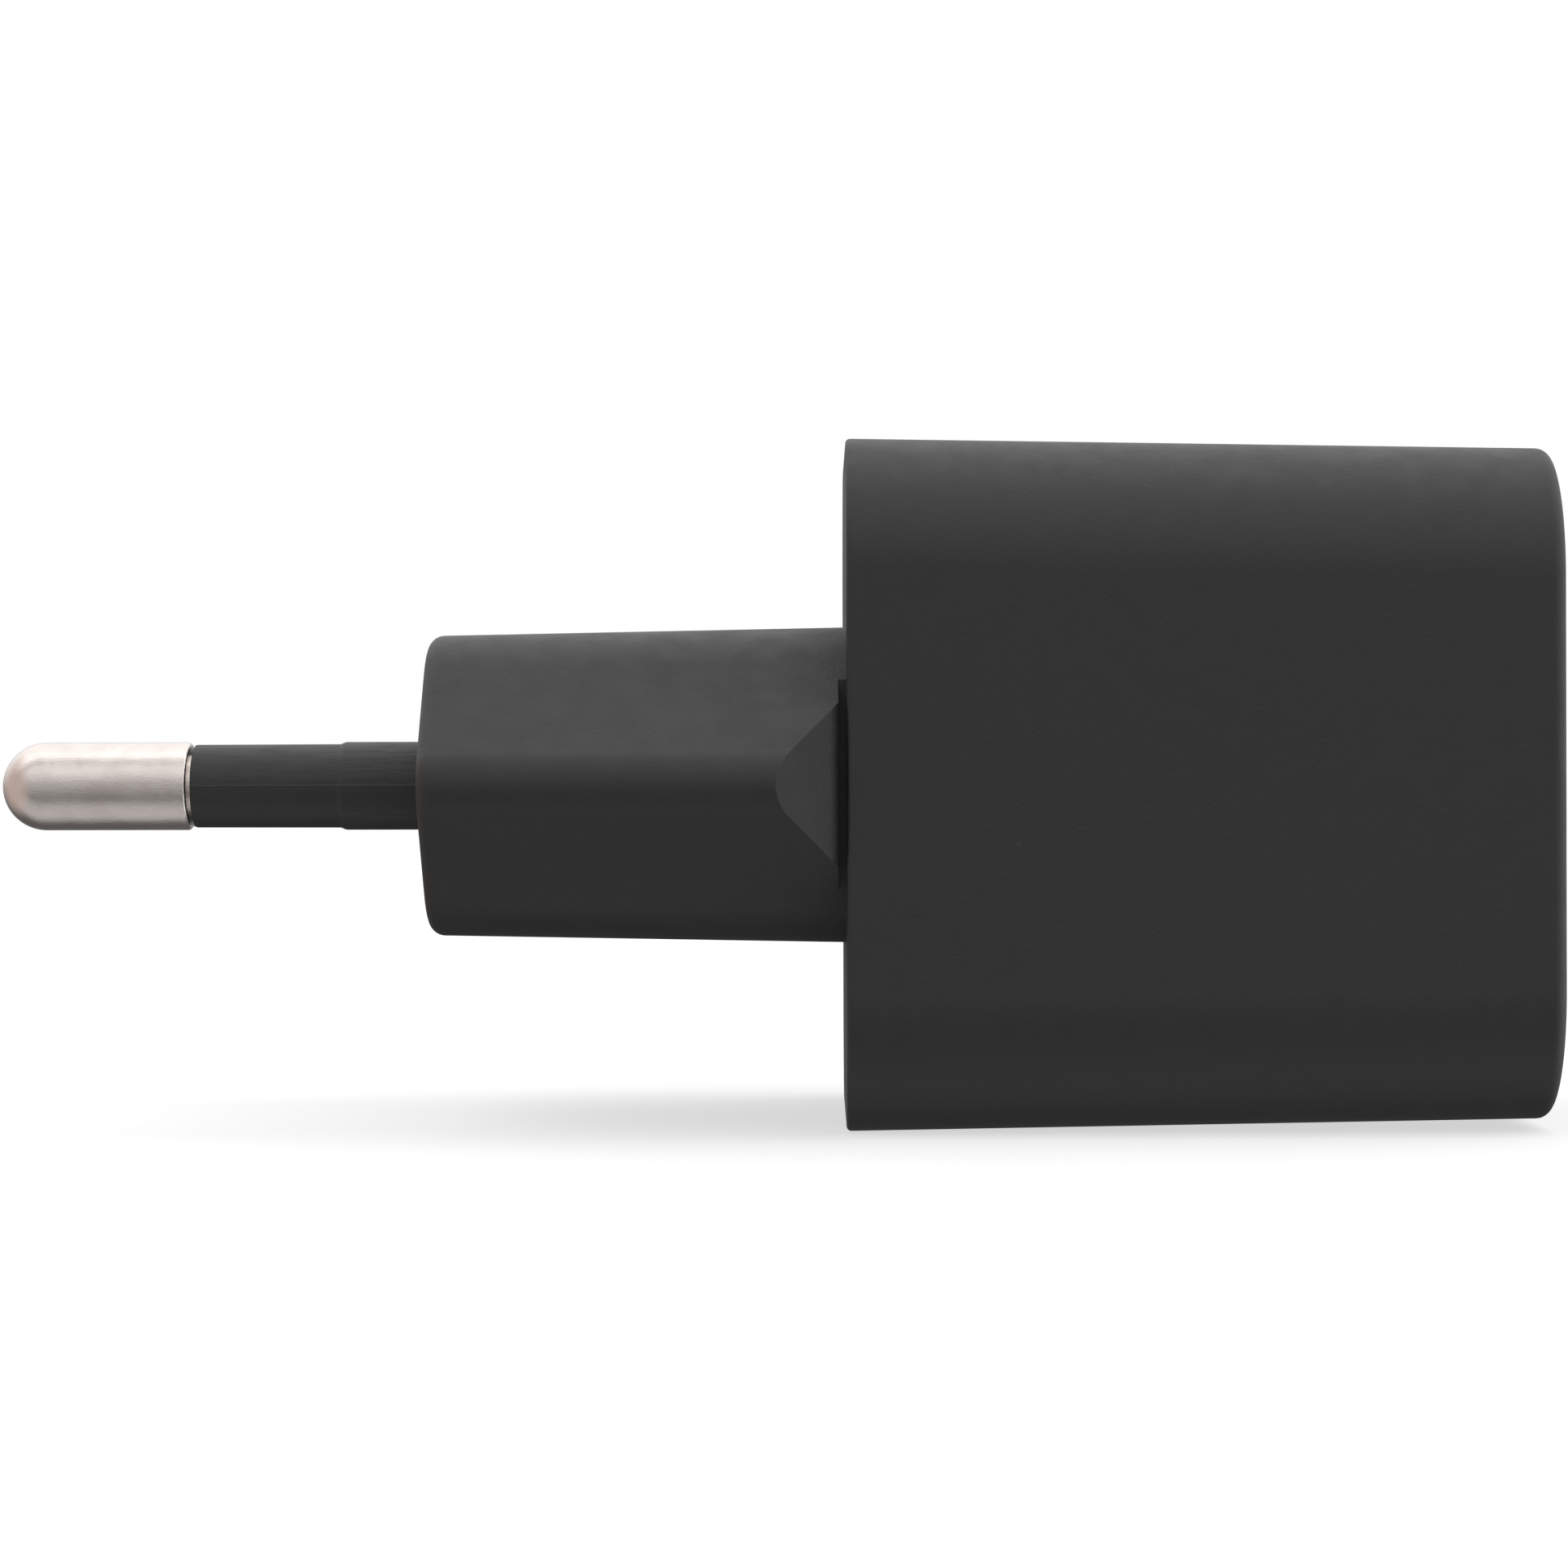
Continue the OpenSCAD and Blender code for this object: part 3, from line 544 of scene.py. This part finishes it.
def fuse_coating():
    """Grey-green ceramic body with a lacquer coat."""
    return mottled("fuse_coating", (0.05, 0.09, 0.065, 1), (0.08, 0.13, 0.10, 1), 0.3, 0.32, 0.01)


def disc_coating():
    """Blue epoxy dip, thick and glossy."""
    return mottled("disc_coating", (0.01, 0.08, 0.26, 1), (0.02, 0.12, 0.33, 1), 0.5, 0.22, 0.03)


def ferrite():
    """Sintered dark grey ferrite with small chips."""
    return mottled("ferrite", grey(0.03), grey(0.05), 0.12, 0.48, 0.02, speck=grey(0.12))


def copper_wire():
    """Enamelled copper wire, turn beside turn."""
    return wound("copper_wire", (0.28, 0.09, 0.03, 1), (0.80, 0.36, 0.16, 1), (0, 0, 1), 0.22, 0.28, 0.03,
                 metallic=1.0)


def chip_resin():
    """Black moulded resin of the chips, with pale filler grains."""
    return mottled("chip_resin", grey(0.012), grey(0.02), 0.08, 0.6, 0.006, speck=grey(0.05))


def capacitor_sleeve():
    """Shrunk black sleeve, glossy, with drawn ripples."""
    return wound("capacitor_sleeve", grey(0.01), grey(0.022), (0, 1, 0), 1.7, 0.25, 0.01)


def pale_resin():
    """Off-white moulded resin."""
    return mottled("pale_resin", (0.58, 0.57, 0.52, 1), (0.68, 0.67, 0.62, 1), 0.1, 0.5, 0.006)


def bobbin_resin():
    """Black phenolic resin with brown flow clouds."""
    return mottled("bobbin_resin", grey(0.012), (0.03, 0.022, 0.018, 1), 0.3, 0.4, 0.008)


def insulated_wire():
    """Yellow triple-insulated wire, slightly waxy."""
    return mottled("insulated_wire", (0.55, 0.33, 0.03, 1), (0.70, 0.46, 0.06, 1), 0.4, 0.35, 0.01)


def film_tape():
    """Yellow film tape in overlapping layers."""
    return wound("film_tape", (0.50, 0.30, 0.02, 1), (0.72, 0.50, 0.06, 1), (1, 0, 0), 1.1, 0.25, 0.01)


def barrier_film():
    """Cream barrier sheet with pressed fibres."""
    return mottled("barrier_film", (0.66, 0.62, 0.50, 1), (0.78, 0.74, 0.62, 1), 0.25, 0.55, 0.01)


def heat_plate():
    """Brushed aluminium."""
    return wound("heat_plate", (0.60, 0.61, 0.62, 1), (0.74, 0.75, 0.76, 1), (0, 0, 1), 0.06, 0.36, 0.002,
                 metallic=1.0)


def pad_silicone():
    """Soft grey-blue silicone pad with filler grains."""
    return mottled("pad_silicone", (0.30, 0.36, 0.45, 1), (0.38, 0.44, 0.54, 1), 0.15, 0.7, 0.02,
                   speck=(0.6, 0.65, 0.7, 1))


def capacitor_can():
    """Drawn aluminium can."""
    return wound("capacitor_can", (0.62, 0.63, 0.65, 1), (0.76, 0.77, 0.79, 1), (0, 0, 1), 0.12, 0.3, 0.002,
                 metallic=1.0)


def chip_ceramic():
    """Tan ceramic of the small chip parts."""
    return mottled("chip_ceramic", (0.28, 0.19, 0.11, 1), (0.36, 0.26, 0.16, 1), 0.1, 0.4, 0.005)


FINISHES = {make.__name__: make() for make in (
    housing_plastic, sleeve_plastic, plated_pin, stamped_steel, contact_brass, socket_resin, circuit_board,
    solder, fuse_coating, disc_coating, ferrite, copper_wire, chip_resin, capacitor_sleeve, pale_resin,
    bobbin_resin, insulated_wire, film_tape, barrier_film, heat_plate, pad_silicone, capacitor_can,
    chip_ceramic)}


# ------------------------------------------------------------------ body

def square_rows(path):
    """Rows for rounded_rings from (x, half width): the corner centres lie on the body's drafted lines."""
    x, half = np.asarray(path, float).T
    return np.stack([x, half, half, half - (body_half(x) - CORNER_R)], axis=1)


def build_main_housing():
    """Four walls in one closed shell: a path goes along the outside, round the front rim, back along the
    cavity and round the back rim, and each point of it is a rounded square. The board rails are left out."""
    front_recess = PANEL_HALF + SEAM
    corners = [
        (BACK_X, BACK_HALF, BACK_R),
        (FRONT_X, body_half(FRONT_X), FRONT_R),
        (FRONT_X, front_recess, SEAM_EDGE),
        (PANEL_BACK, front_recess, 0),
        (PANEL_BACK, body_half(PANEL_BACK) - WALL, 0),
        (CAVITY_BACK, body_half(CAVITY_BACK) - WALL, 0),
        (CAVITY_BACK, RECESS_HALF, 0),
        (BACK_X, RECESS_HALF, SEAM_EDGE),
    ]
    x, half, cut = np.array(corners).T
    path = soften(np.stack([x, half], axis=1), cut, steps=8)
    make_piece("main_housing_walls", [skin(rounded_rings(square_rows(path), steps=24), wrap=True)],
               "housing_plastic", "main_housing")


def build_front_panel():
    """Inset front panel: a path of rounded rectangles from the rim, over the front face into the chamfered
    window, back through the collar behind it and out to the rim again."""
    window_y, window_z = WINDOW_HALF
    slot = 0.98             # share of the half height that the round ends take
    wide_y, wide_z = window_y + WINDOW_CHAMFER, window_z + WINDOW_CHAMFER
    panel_r = CORNER_R - (body_half(FRONT_X) - PANEL_HALF)
    corners = [
        (PANEL_X, PANEL_HALF, PANEL_HALF, panel_r, SEAM_EDGE),
        (PANEL_X, wide_y, wide_z, slot * wide_z, 0.08),
        (PANEL_X - WINDOW_CHAMFER, window_y, window_z, slot * window_z, 0.08),
        (COLLAR_X, window_y, window_z, slot * window_z, 0),
        (COLLAR_X, *COLLAR_HALF, 0.3, 0),
        (PANEL_BACK, *COLLAR_HALF, 0.3, 0),
        (PANEL_BACK, PANEL_HALF, PANEL_HALF, panel_r, 0),
    ]
    corners = np.array(corners)
    rows = soften(corners[:, :4], corners[:, 4])
    make_piece("front_panel_plate", [skin(rounded_rings(rows, steps=24), wrap=True)],
               "housing_plastic", "front_panel")


# ------------------------------------------------------------------ plug housing

SIDE_STEPS = 14         # points over the radius of the stem's side edge
TOP_STEPS = 16          # points over the radius between its slope and its top
FACET_STEPS = 5         # points over half of the flat that the base chamfer leaves


def stem_rings(rows):
    """Rings of the six-sided stem, one for each row (x, inset, half width of the base cut).

    The upper boundary is a function of y: flat top, knee arc, 45 degree slope, side arc. The cut holds y at
    its half width, and the flat that it leaves is filled with points of its own.
    """
    x, inset, cut = [column[:, None] for column in np.asarray(rows, float).T]
    grow = x * math.tan(STEM_DRAFT)
    half_h = STEM_H / 2 + grow - KNEE_R
    apex = STEM_W / 2 + (grow - STEM_R) * math.sqrt(2)
    knee = apex + STEM_R * math.sqrt(2) - half_h - KNEE_R * math.sqrt(2)
    r, knee_r = STEM_R - inset, KNEE_R - inset
    side = apex + r * np.cos(np.linspace(0, np.pi / 4, SIDE_STEPS + 1))
    foot = knee + knee_r * math.sqrt(0.5)
    slope = np.concatenate([side[:, -1:] - 0.08, np.full_like(x, NECK_HALF), foot + 0.08], axis=1)
    top = knee + knee_r * np.sin(np.linspace(np.pi / 4, 0, TOP_STEPS + 1))
    y = np.concatenate([side, slope, top, top[:, -1:] - 0.08, np.zeros_like(x)], axis=1)
    y = np.minimum(y, cut)
    z = np.select(
        [y <= knee, y <= foot, y <= apex + r * math.sqrt(0.5)],
        [half_h + knee_r + 0 * y, half_h + np.sqrt(np.clip(knee_r ** 2 - (y - knee) ** 2, 0, None)),
         apex + r * math.sqrt(2) - y],
        np.sqrt(np.clip(r ** 2 - (y - apex) ** 2, 0, None)))
    share = np.linspace(0, 1, FACET_STEPS + 1)[:-1]
    facet = y[:, :1] + 1j * z[:, :1] * share
    return as_ring(x, mirrored(np.concatenate([facet, y + 1j * z], axis=1)))


def stem_rows():
    """Rows for stem_rings from the engagement face to the back plate."""
    turn = np.linspace(0, np.pi / 2, 9)
    uncut = STEM_W
    face = [(FACE_R * (1 - math.sin(a)), FACE_R * (1 - math.cos(a)), uncut) for a in turn[::-1]]
    chamfer_start = (CHAMFER_HALF + NECK_X - STEM_W / 2 + STEM_R * (math.sqrt(2) - 1)) \
        / (1 + math.sqrt(2) * math.tan(STEM_DRAFT))
    run = chamfer_start + (NECK_X - chamfer_start) * np.linspace(0, 1, 17) ** 2
    straight = [(FACE_R + 0.1, 0, uncut), (chamfer_start / 2, 0, uncut), (chamfer_start - 0.1, 0, uncut)]
    chamfer = [(x, 0, CHAMFER_HALF + NECK_X - x) for x in run]
    return face + straight + chamfer + [(NECK_X, 0, NECK_HALF), (BACK_X, 0, NECK_HALF)]


def pin_ring(side, r, s=None, x=None, columns=64):
    """A ring of radius r round a pin's tilted axis, at distance s along it or where it meets the plane x."""
    angle = np.linspace(0, 2 * np.pi, columns, endpoint=False)
    across, up = r * np.cos(angle), r * np.sin(angle)
    cos, sin = math.cos(PIN_TILT), side * math.sin(PIN_TILT)
    s = (x + across * sin) / cos if s is None else s
    return np.stack([s * cos - across * sin, side * PIN_Y + s * sin + across * cos, up], axis=-1)


def straight_ring(y, r, x, columns=64):
    """A ring of radius r round an axis along X."""
    angle = np.linspace(0, 2 * np.pi, columns, endpoint=False)
    return np.stack([np.full(columns, x), y + r * np.cos(angle), r * np.sin(angle)], axis=-1)


def build_plug_housing():
    """Stem, back plate and skirt in one closed shell, with the pin bores, bosses and hollow inside."""
    stem = stem_rings(stem_rows())
    rim = 0.05              # rounding at the mouth of each relief
    reliefs, bosses, parts = [], [], [skin(stem)]
    for side in PIN_SIDES.values():
        y = side * PIN_Y
        bore = [
            straight_ring(y, RELIEF_R + rim, 0), straight_ring(y, RELIEF_R + 0.3 * rim, 0.3 * rim),
            straight_ring(y, RELIEF_R, rim), straight_ring(y, RELIEF_R, RELIEF_DEPTH),
            pin_ring(side, BORE_R, x=RELIEF_DEPTH), pin_ring(side, BORE_R, s=SEAT_S),
            pin_ring(side, BORE_R + 1, s=SEAT_S), pin_ring(side, BORE_R + 1, s=RETAINER_X - 0.1),
            pin_ring(side, BOSS_R, s=RETAINER_X - 0.1), pin_ring(side, BOSS_R, x=FACE_WALL),
        ]
        reliefs.append(bore[0])
        bosses.append(bore[-1])
        parts.append(skin(np.array(bore)))
    screw = [straight_ring(0, r, x) for r, x in (
        (SCREW_BOSS_R, FACE_WALL), (SCREW_BOSS_R, RETAINER_X),
        (SCREW_BORE_R, RETAINER_X), (SCREW_BORE_R, SCREW_END_X))]
    quarter = np.array([y + 1j * z for y, z in HOLLOW])
    hollow = as_ring(np.array([[FACE_WALL], [CAVITY_BACK]]), np.tile(mirrored(quarter), (2, 1)))
    plate = [(CAVITY_BACK, SKIRT_INNER), (SKIRT_X, SKIRT_INNER), (SKIRT_X, SKIRT_HALF),
             (CAVITY_BACK, SKIRT_HALF), (CAVITY_BACK, EDGE_HALF), (BACK_X, EDGE_HALF),
             (BACK_X, EDGE_HALF - 2 * SEAM_EDGE)]
    cuts = [0, 0, 0, 0, 0, SEAM_EDGE, 0]
    edge = rounded_rings(square_rows(soften(plate, cuts, closed=False)))
    parts += [
        flat(stem[0], *reliefs), skin(np.array(screw)), flat(screw[-1]),
        flat(hollow[0], *bosses, screw[0]), skin(hollow), flat(edge[0], hollow[1]),
        skin(edge), flat(edge[-1], stem[-1]),
    ]
    make_piece("plug_housing_shell", parts, "housing_plastic", "plug_housing")


# ------------------------------------------------------------------ pins and sleeves

def turned_rings(side, path, columns=128, ridge=0.0):
    """Rings round a pin's tilted axis from a path of (s, radius); ridge raises two thin mould lines.

    The columns crowd together towards the two sides along Y, where the lines run:
    angle = u - 0.45 sin 2u.
    """
    s, r = [column[:, None] for column in np.asarray(path, float).T]
    u = np.linspace(0, 2 * np.pi, columns, endpoint=False)
    angle = u - 0.45 * np.sin(2 * u)
    line = np.exp(-(np.sin(angle) / 0.022) ** 2)
    r = r + ridge * line * (r > CORE_R + 0.2)
    cos, sin = math.cos(PIN_TILT), side * math.sin(PIN_TILT)
    across, up = r * np.cos(angle), r * np.sin(angle)
    return np.stack([s * cos - across * sin, side * PIN_Y + s * sin + across * cos, up], axis=-1)


def build_pin(name, side):
    """Turned pin: half-round tip, bare end with a rounded shoulder, thin core, flange and riveted tail."""
    turn = np.linspace(0, np.pi / 2, 20)[1:]
    dome = np.stack([TIP_S + PIN_R * (1 - np.cos(turn)), PIN_R * np.sin(turn)], axis=1)
    shank = soften(
        [(TIP_S + PIN_R, PIN_R), (METAL_END, PIN_R), (METAL_END, CORE_R), (SEAT_S, CORE_R), (SEAT_S, 3.0),
         (SEAT_S + 1.35, 3.0), (SEAT_S + 1.35, CORE_R), (8.1, CORE_R), (8.1, 0.8), (8.6, 0.8), (8.6, 1.3),
         (TAIL_X, 1.3), (TAIL_X, 0)],
        [0, 0.16, 0, 0, 0.1, 0.1, 0, 0.05, 0, 0, 0.05, 0.3, 0], closed=False)
    path = np.concatenate([[(TIP_S, 0)], dome, shank[1:]])
    make_piece(f"pin_{name}_metal", [skin(turned_rings(side, path, columns=96))], "plated_pin", f"pin_{name}")


def build_sleeve(name, side):
    """Insulating sleeve: a thin stretch, a short ramp up to the collar, and the bore for the pin's core."""
    bore = CORE_R + 0.01
    corners = [
        (SLEEVE_START, bore, 0), (SLEEVE_START, 1.885, 0.1), (COLLAR_S - 0.1, 1.9, 0.05),
        (COLLAR_S + 0.12, PIN_R, 0.08), (SEAT_S, PIN_R, 0.05), (SEAT_S, bore, 0),
    ]
    corners = np.array(corners)
    path = soften(corners[:, :2], corners[:, 2])
    make_piece(f"sleeve_{name}_cover", [skin(turned_rings(side, path, ridge=0.02), wrap=True)],
               "sleeve_plastic", f"sleeve_{name}")


# ------------------------------------------------------------------ socket

def build_liner():
    """Drawn metal liner of the socket with a rounded lip."""
    (outer_y, outer_z), (inner_y, inner_z) = LINER_HALF, PORT_HALF
    slot = 0.98
    corners = np.array([
        (LINER_BACK, outer_y, outer_z, slot * outer_z, 0), (LINER_X, outer_y, outer_z, slot * outer_z, 0.13),
        (LINER_X, inner_y, inner_z, slot * inner_z, 0.13), (LINER_BACK, inner_y, inner_z, slot * inner_z, 0),
    ])
    rows = soften(corners[:, :4], corners[:, 4])
    make_piece("usb_liner_shell", [skin(rounded_rings(rows), wrap=True)], "stamped_steel", "usb_liner")


def build_insulator():
    """Moulded base that fills the liner, and the tongue with its rounded tip."""
    base_y, base_z = PORT_HALF[0] - 0.01, PORT_HALF[1] - 0.01
    tongue_y, tongue_z = TONGUE_HALF
    base_r = 0.98 * base_z
    corners = np.array([
        (LINER_BACK, base_y, base_z, base_r, 0), (TONGUE_ROOT, base_y, base_z, base_r, 0.1),
        (TONGUE_ROOT, tongue_y, tongue_z, 0.12, 0.1), (TONGUE_X, tongue_y, tongue_z, 0.12, 0.22),
        (TONGUE_X, tongue_y - 0.3, 0.08, 0.05, 0),
    ])
    rings = rounded_rings(soften(corners[:, :4], corners[:, 4], closed=False))
    make_piece("usb_insulator_body", [flat(rings[0]), skin(rings), flat(rings[-1])],
               "socket_resin", "usb_insulator")


def build_contacts():
    """Twelve contacts on each face of the tongue, each dipping into it at its front end."""
    half_y, half_z = CONTACT_HALF
    start, end = TONGUE_ROOT, contacts_high[0]
    corners = np.array([
        (start, half_y, half_z, 0.02, 0), (end - 0.25, half_y, half_z, 0.02, 0.1),
        (end, 0.6 * half_y, 0.5 * half_z, 0.01, 0),
    ])
    rings = rounded_rings(soften(corners[:, :4], corners[:, 4], closed=False), steps=2)
    parts = []
    for i in range(12):
        for side in (-1, 1):
            shift = (0, (i - 5.5) * CONTACT_PITCH, side * (TONGUE_HALF[1] + half_z))
            bar = rings + np.array(shift)
            parts += [flat(bar[0]), skin(bar), flat(bar[-1])]
    make_piece("usb_contact_bars", parts, "contact_brass", "usb_contacts")


build_main_housing()
build_front_panel()
build_plug_housing()
for name, side in PIN_SIDES.items():
    build_pin(name, side)
    build_sleeve(name, side)
build_liner()
build_insulator()
build_contacts()

# carried-over CAD nodes take the finish of their own slot
for subpart in frame["record"]["subparts"]:
    for held in frame["nodes"][subpart["node"]].material_slots:
        held.material = FINISHES[subpart["material_slot"]]


# ------------------------------------------------------------------ stage, light and camera

FLOOR_SIZE = 1.2
CAMERA_AT = (17.66, -217.3, 0.04)
CAMERA_ROLL = 0.0021
LENS = 105.0
SENSOR = 36.0
SHIFT = -0.022

# brightness round the object, by the angle from the camera's side up and over
LIGHT_RING = [
    (-180, 0.40), (-165, 0.15), (-142, 0.13), (-125, 0.13), (-112, 0.18), (-99, 0.44), (-85, 0.60),
    (-58, 0.56), (-46, 0.42), (-35, 0.28), (-24, 0.30), (-12, 0.40), (0, 0.50), (9, 0.54), (19, 0.72),
    (30, 0.92), (45, 1.06), (55, 1.02), (65, 0.84), (76, 1.06), (82, 1.42), (92, 1.6), (110, 1.42),
    (150, 1.25), (168, 0.9), (180, 0.4),
]
LIGHT_PEAK = max(level for degrees, level in LIGHT_RING)
END_SPREAD = (0.55, 0.95)                       # where the ring gives way to the ends, as a direction's X
PIN_END_LIGHT = (0.40, 0.345, 0.32, 1)          # shares of the peak
FRONT_END_LIGHT = 0.85


def build_floor():
    """Plain pale floor at the object's lowest point."""
    size = FLOOR_SIZE
    z = cad_box[0].z
    mesh = bpy.data.meshes.new("floor")
    corners = [(-size, -size, z), (size, -size, z), (size, size, z), (-size, size, z)]
    mesh.from_pydata(corners, [], [(0, 1, 2, 3)])
    floor = bpy.data.objects.new("floor", mesh)
    bpy.context.scene.collection.objects.link(floor)
    paint = bpy.data.materials.new("floor_paint")
    paint.use_nodes = True
    shader = paint.node_tree.nodes["Principled BSDF"]
    shader.inputs["Base Color"].default_value = grey(0.42)
    shader.inputs["Emission Color"].default_value = grey(1.0)
    shader.inputs["Emission Strength"].default_value = 0.62
    shader.inputs["Roughness"].default_value = 0.9
    shader.inputs["Specular IOR Level"].default_value = 0.0
    mesh.materials.append(paint)
    floor.visible_glossy = False
    floor.visible_diffuse = False


def build_light():
    """Soft studio light: a ring of brightness round the X axis, warmer and dimmer towards the pin end, and
    plain white behind the object."""
    world = bpy.data.worlds.new("studio")
    bpy.context.scene.world = world
    world.use_nodes = True
    tree = Tree(world.node_tree)
    world.node_tree.nodes.clear()
    x, y, z = tree.add("SeparateXYZ", {0: tree.add("TexCoord").outputs["Generated"]}).outputs
    angle = tree.math("ARCTAN2", z, tree.math("MULTIPLY", y, -1.0))
    ramp = tree.add("ValToRGB", {"Fac": tree.spread(angle, -math.pi, math.pi)})
    stops = ramp.color_ramp.elements
    while len(stops) < len(LIGHT_RING):
        stops.new(0.5)
    for stop, (degrees, level) in zip(stops, LIGHT_RING):
        stop.position = (degrees + 180) / 360
    for stop, (degrees, level) in zip(stops, LIGHT_RING):
        stop.color = grey(level / LIGHT_PEAK)
    start, end = END_SPREAD
    ring = tree.mix(tree.spread(x, -start, -end), ramp.outputs["Color"], PIN_END_LIGHT)
    ring = tree.mix(tree.spread(x, start, end), ring, grey(FRONT_END_LIGHT))
    soft = tree.add("Background", {"Color": ring, "Strength": LIGHT_PEAK})
    white = tree.add("Background", {"Color": (1, 1, 1, 1), "Strength": 1.0})
    seen = tree.add("LightPath").outputs["Is Camera Ray"]
    both = tree.add("MixShader", {0: seen, 1: soft.outputs[0], 2: white.outputs[0]})
    out = tree.add("OutputWorld")
    tree.feed(out.inputs["Surface"], both.outputs[0])


def build_camera():
    """Camera square to the charger's side, a little past the middle of its length."""
    data = bpy.data.cameras.new("camera")
    data.lens = LENS
    data.sensor_width = SENSOR
    data.shift_x = SHIFT
    data.clip_start = 0.01
    data.clip_end = 10
    camera = bpy.data.objects.new("camera", data)
    camera.location = Vector(CAMERA_AT) * MM
    camera.rotation_euler = (math.pi / 2, CAMERA_ROLL, 0)
    bpy.context.scene.collection.objects.link(camera)
    bpy.context.scene.camera = camera


build_floor()
build_light()
build_camera()
bpy.context.scene.view_settings.view_transform = "Standard"
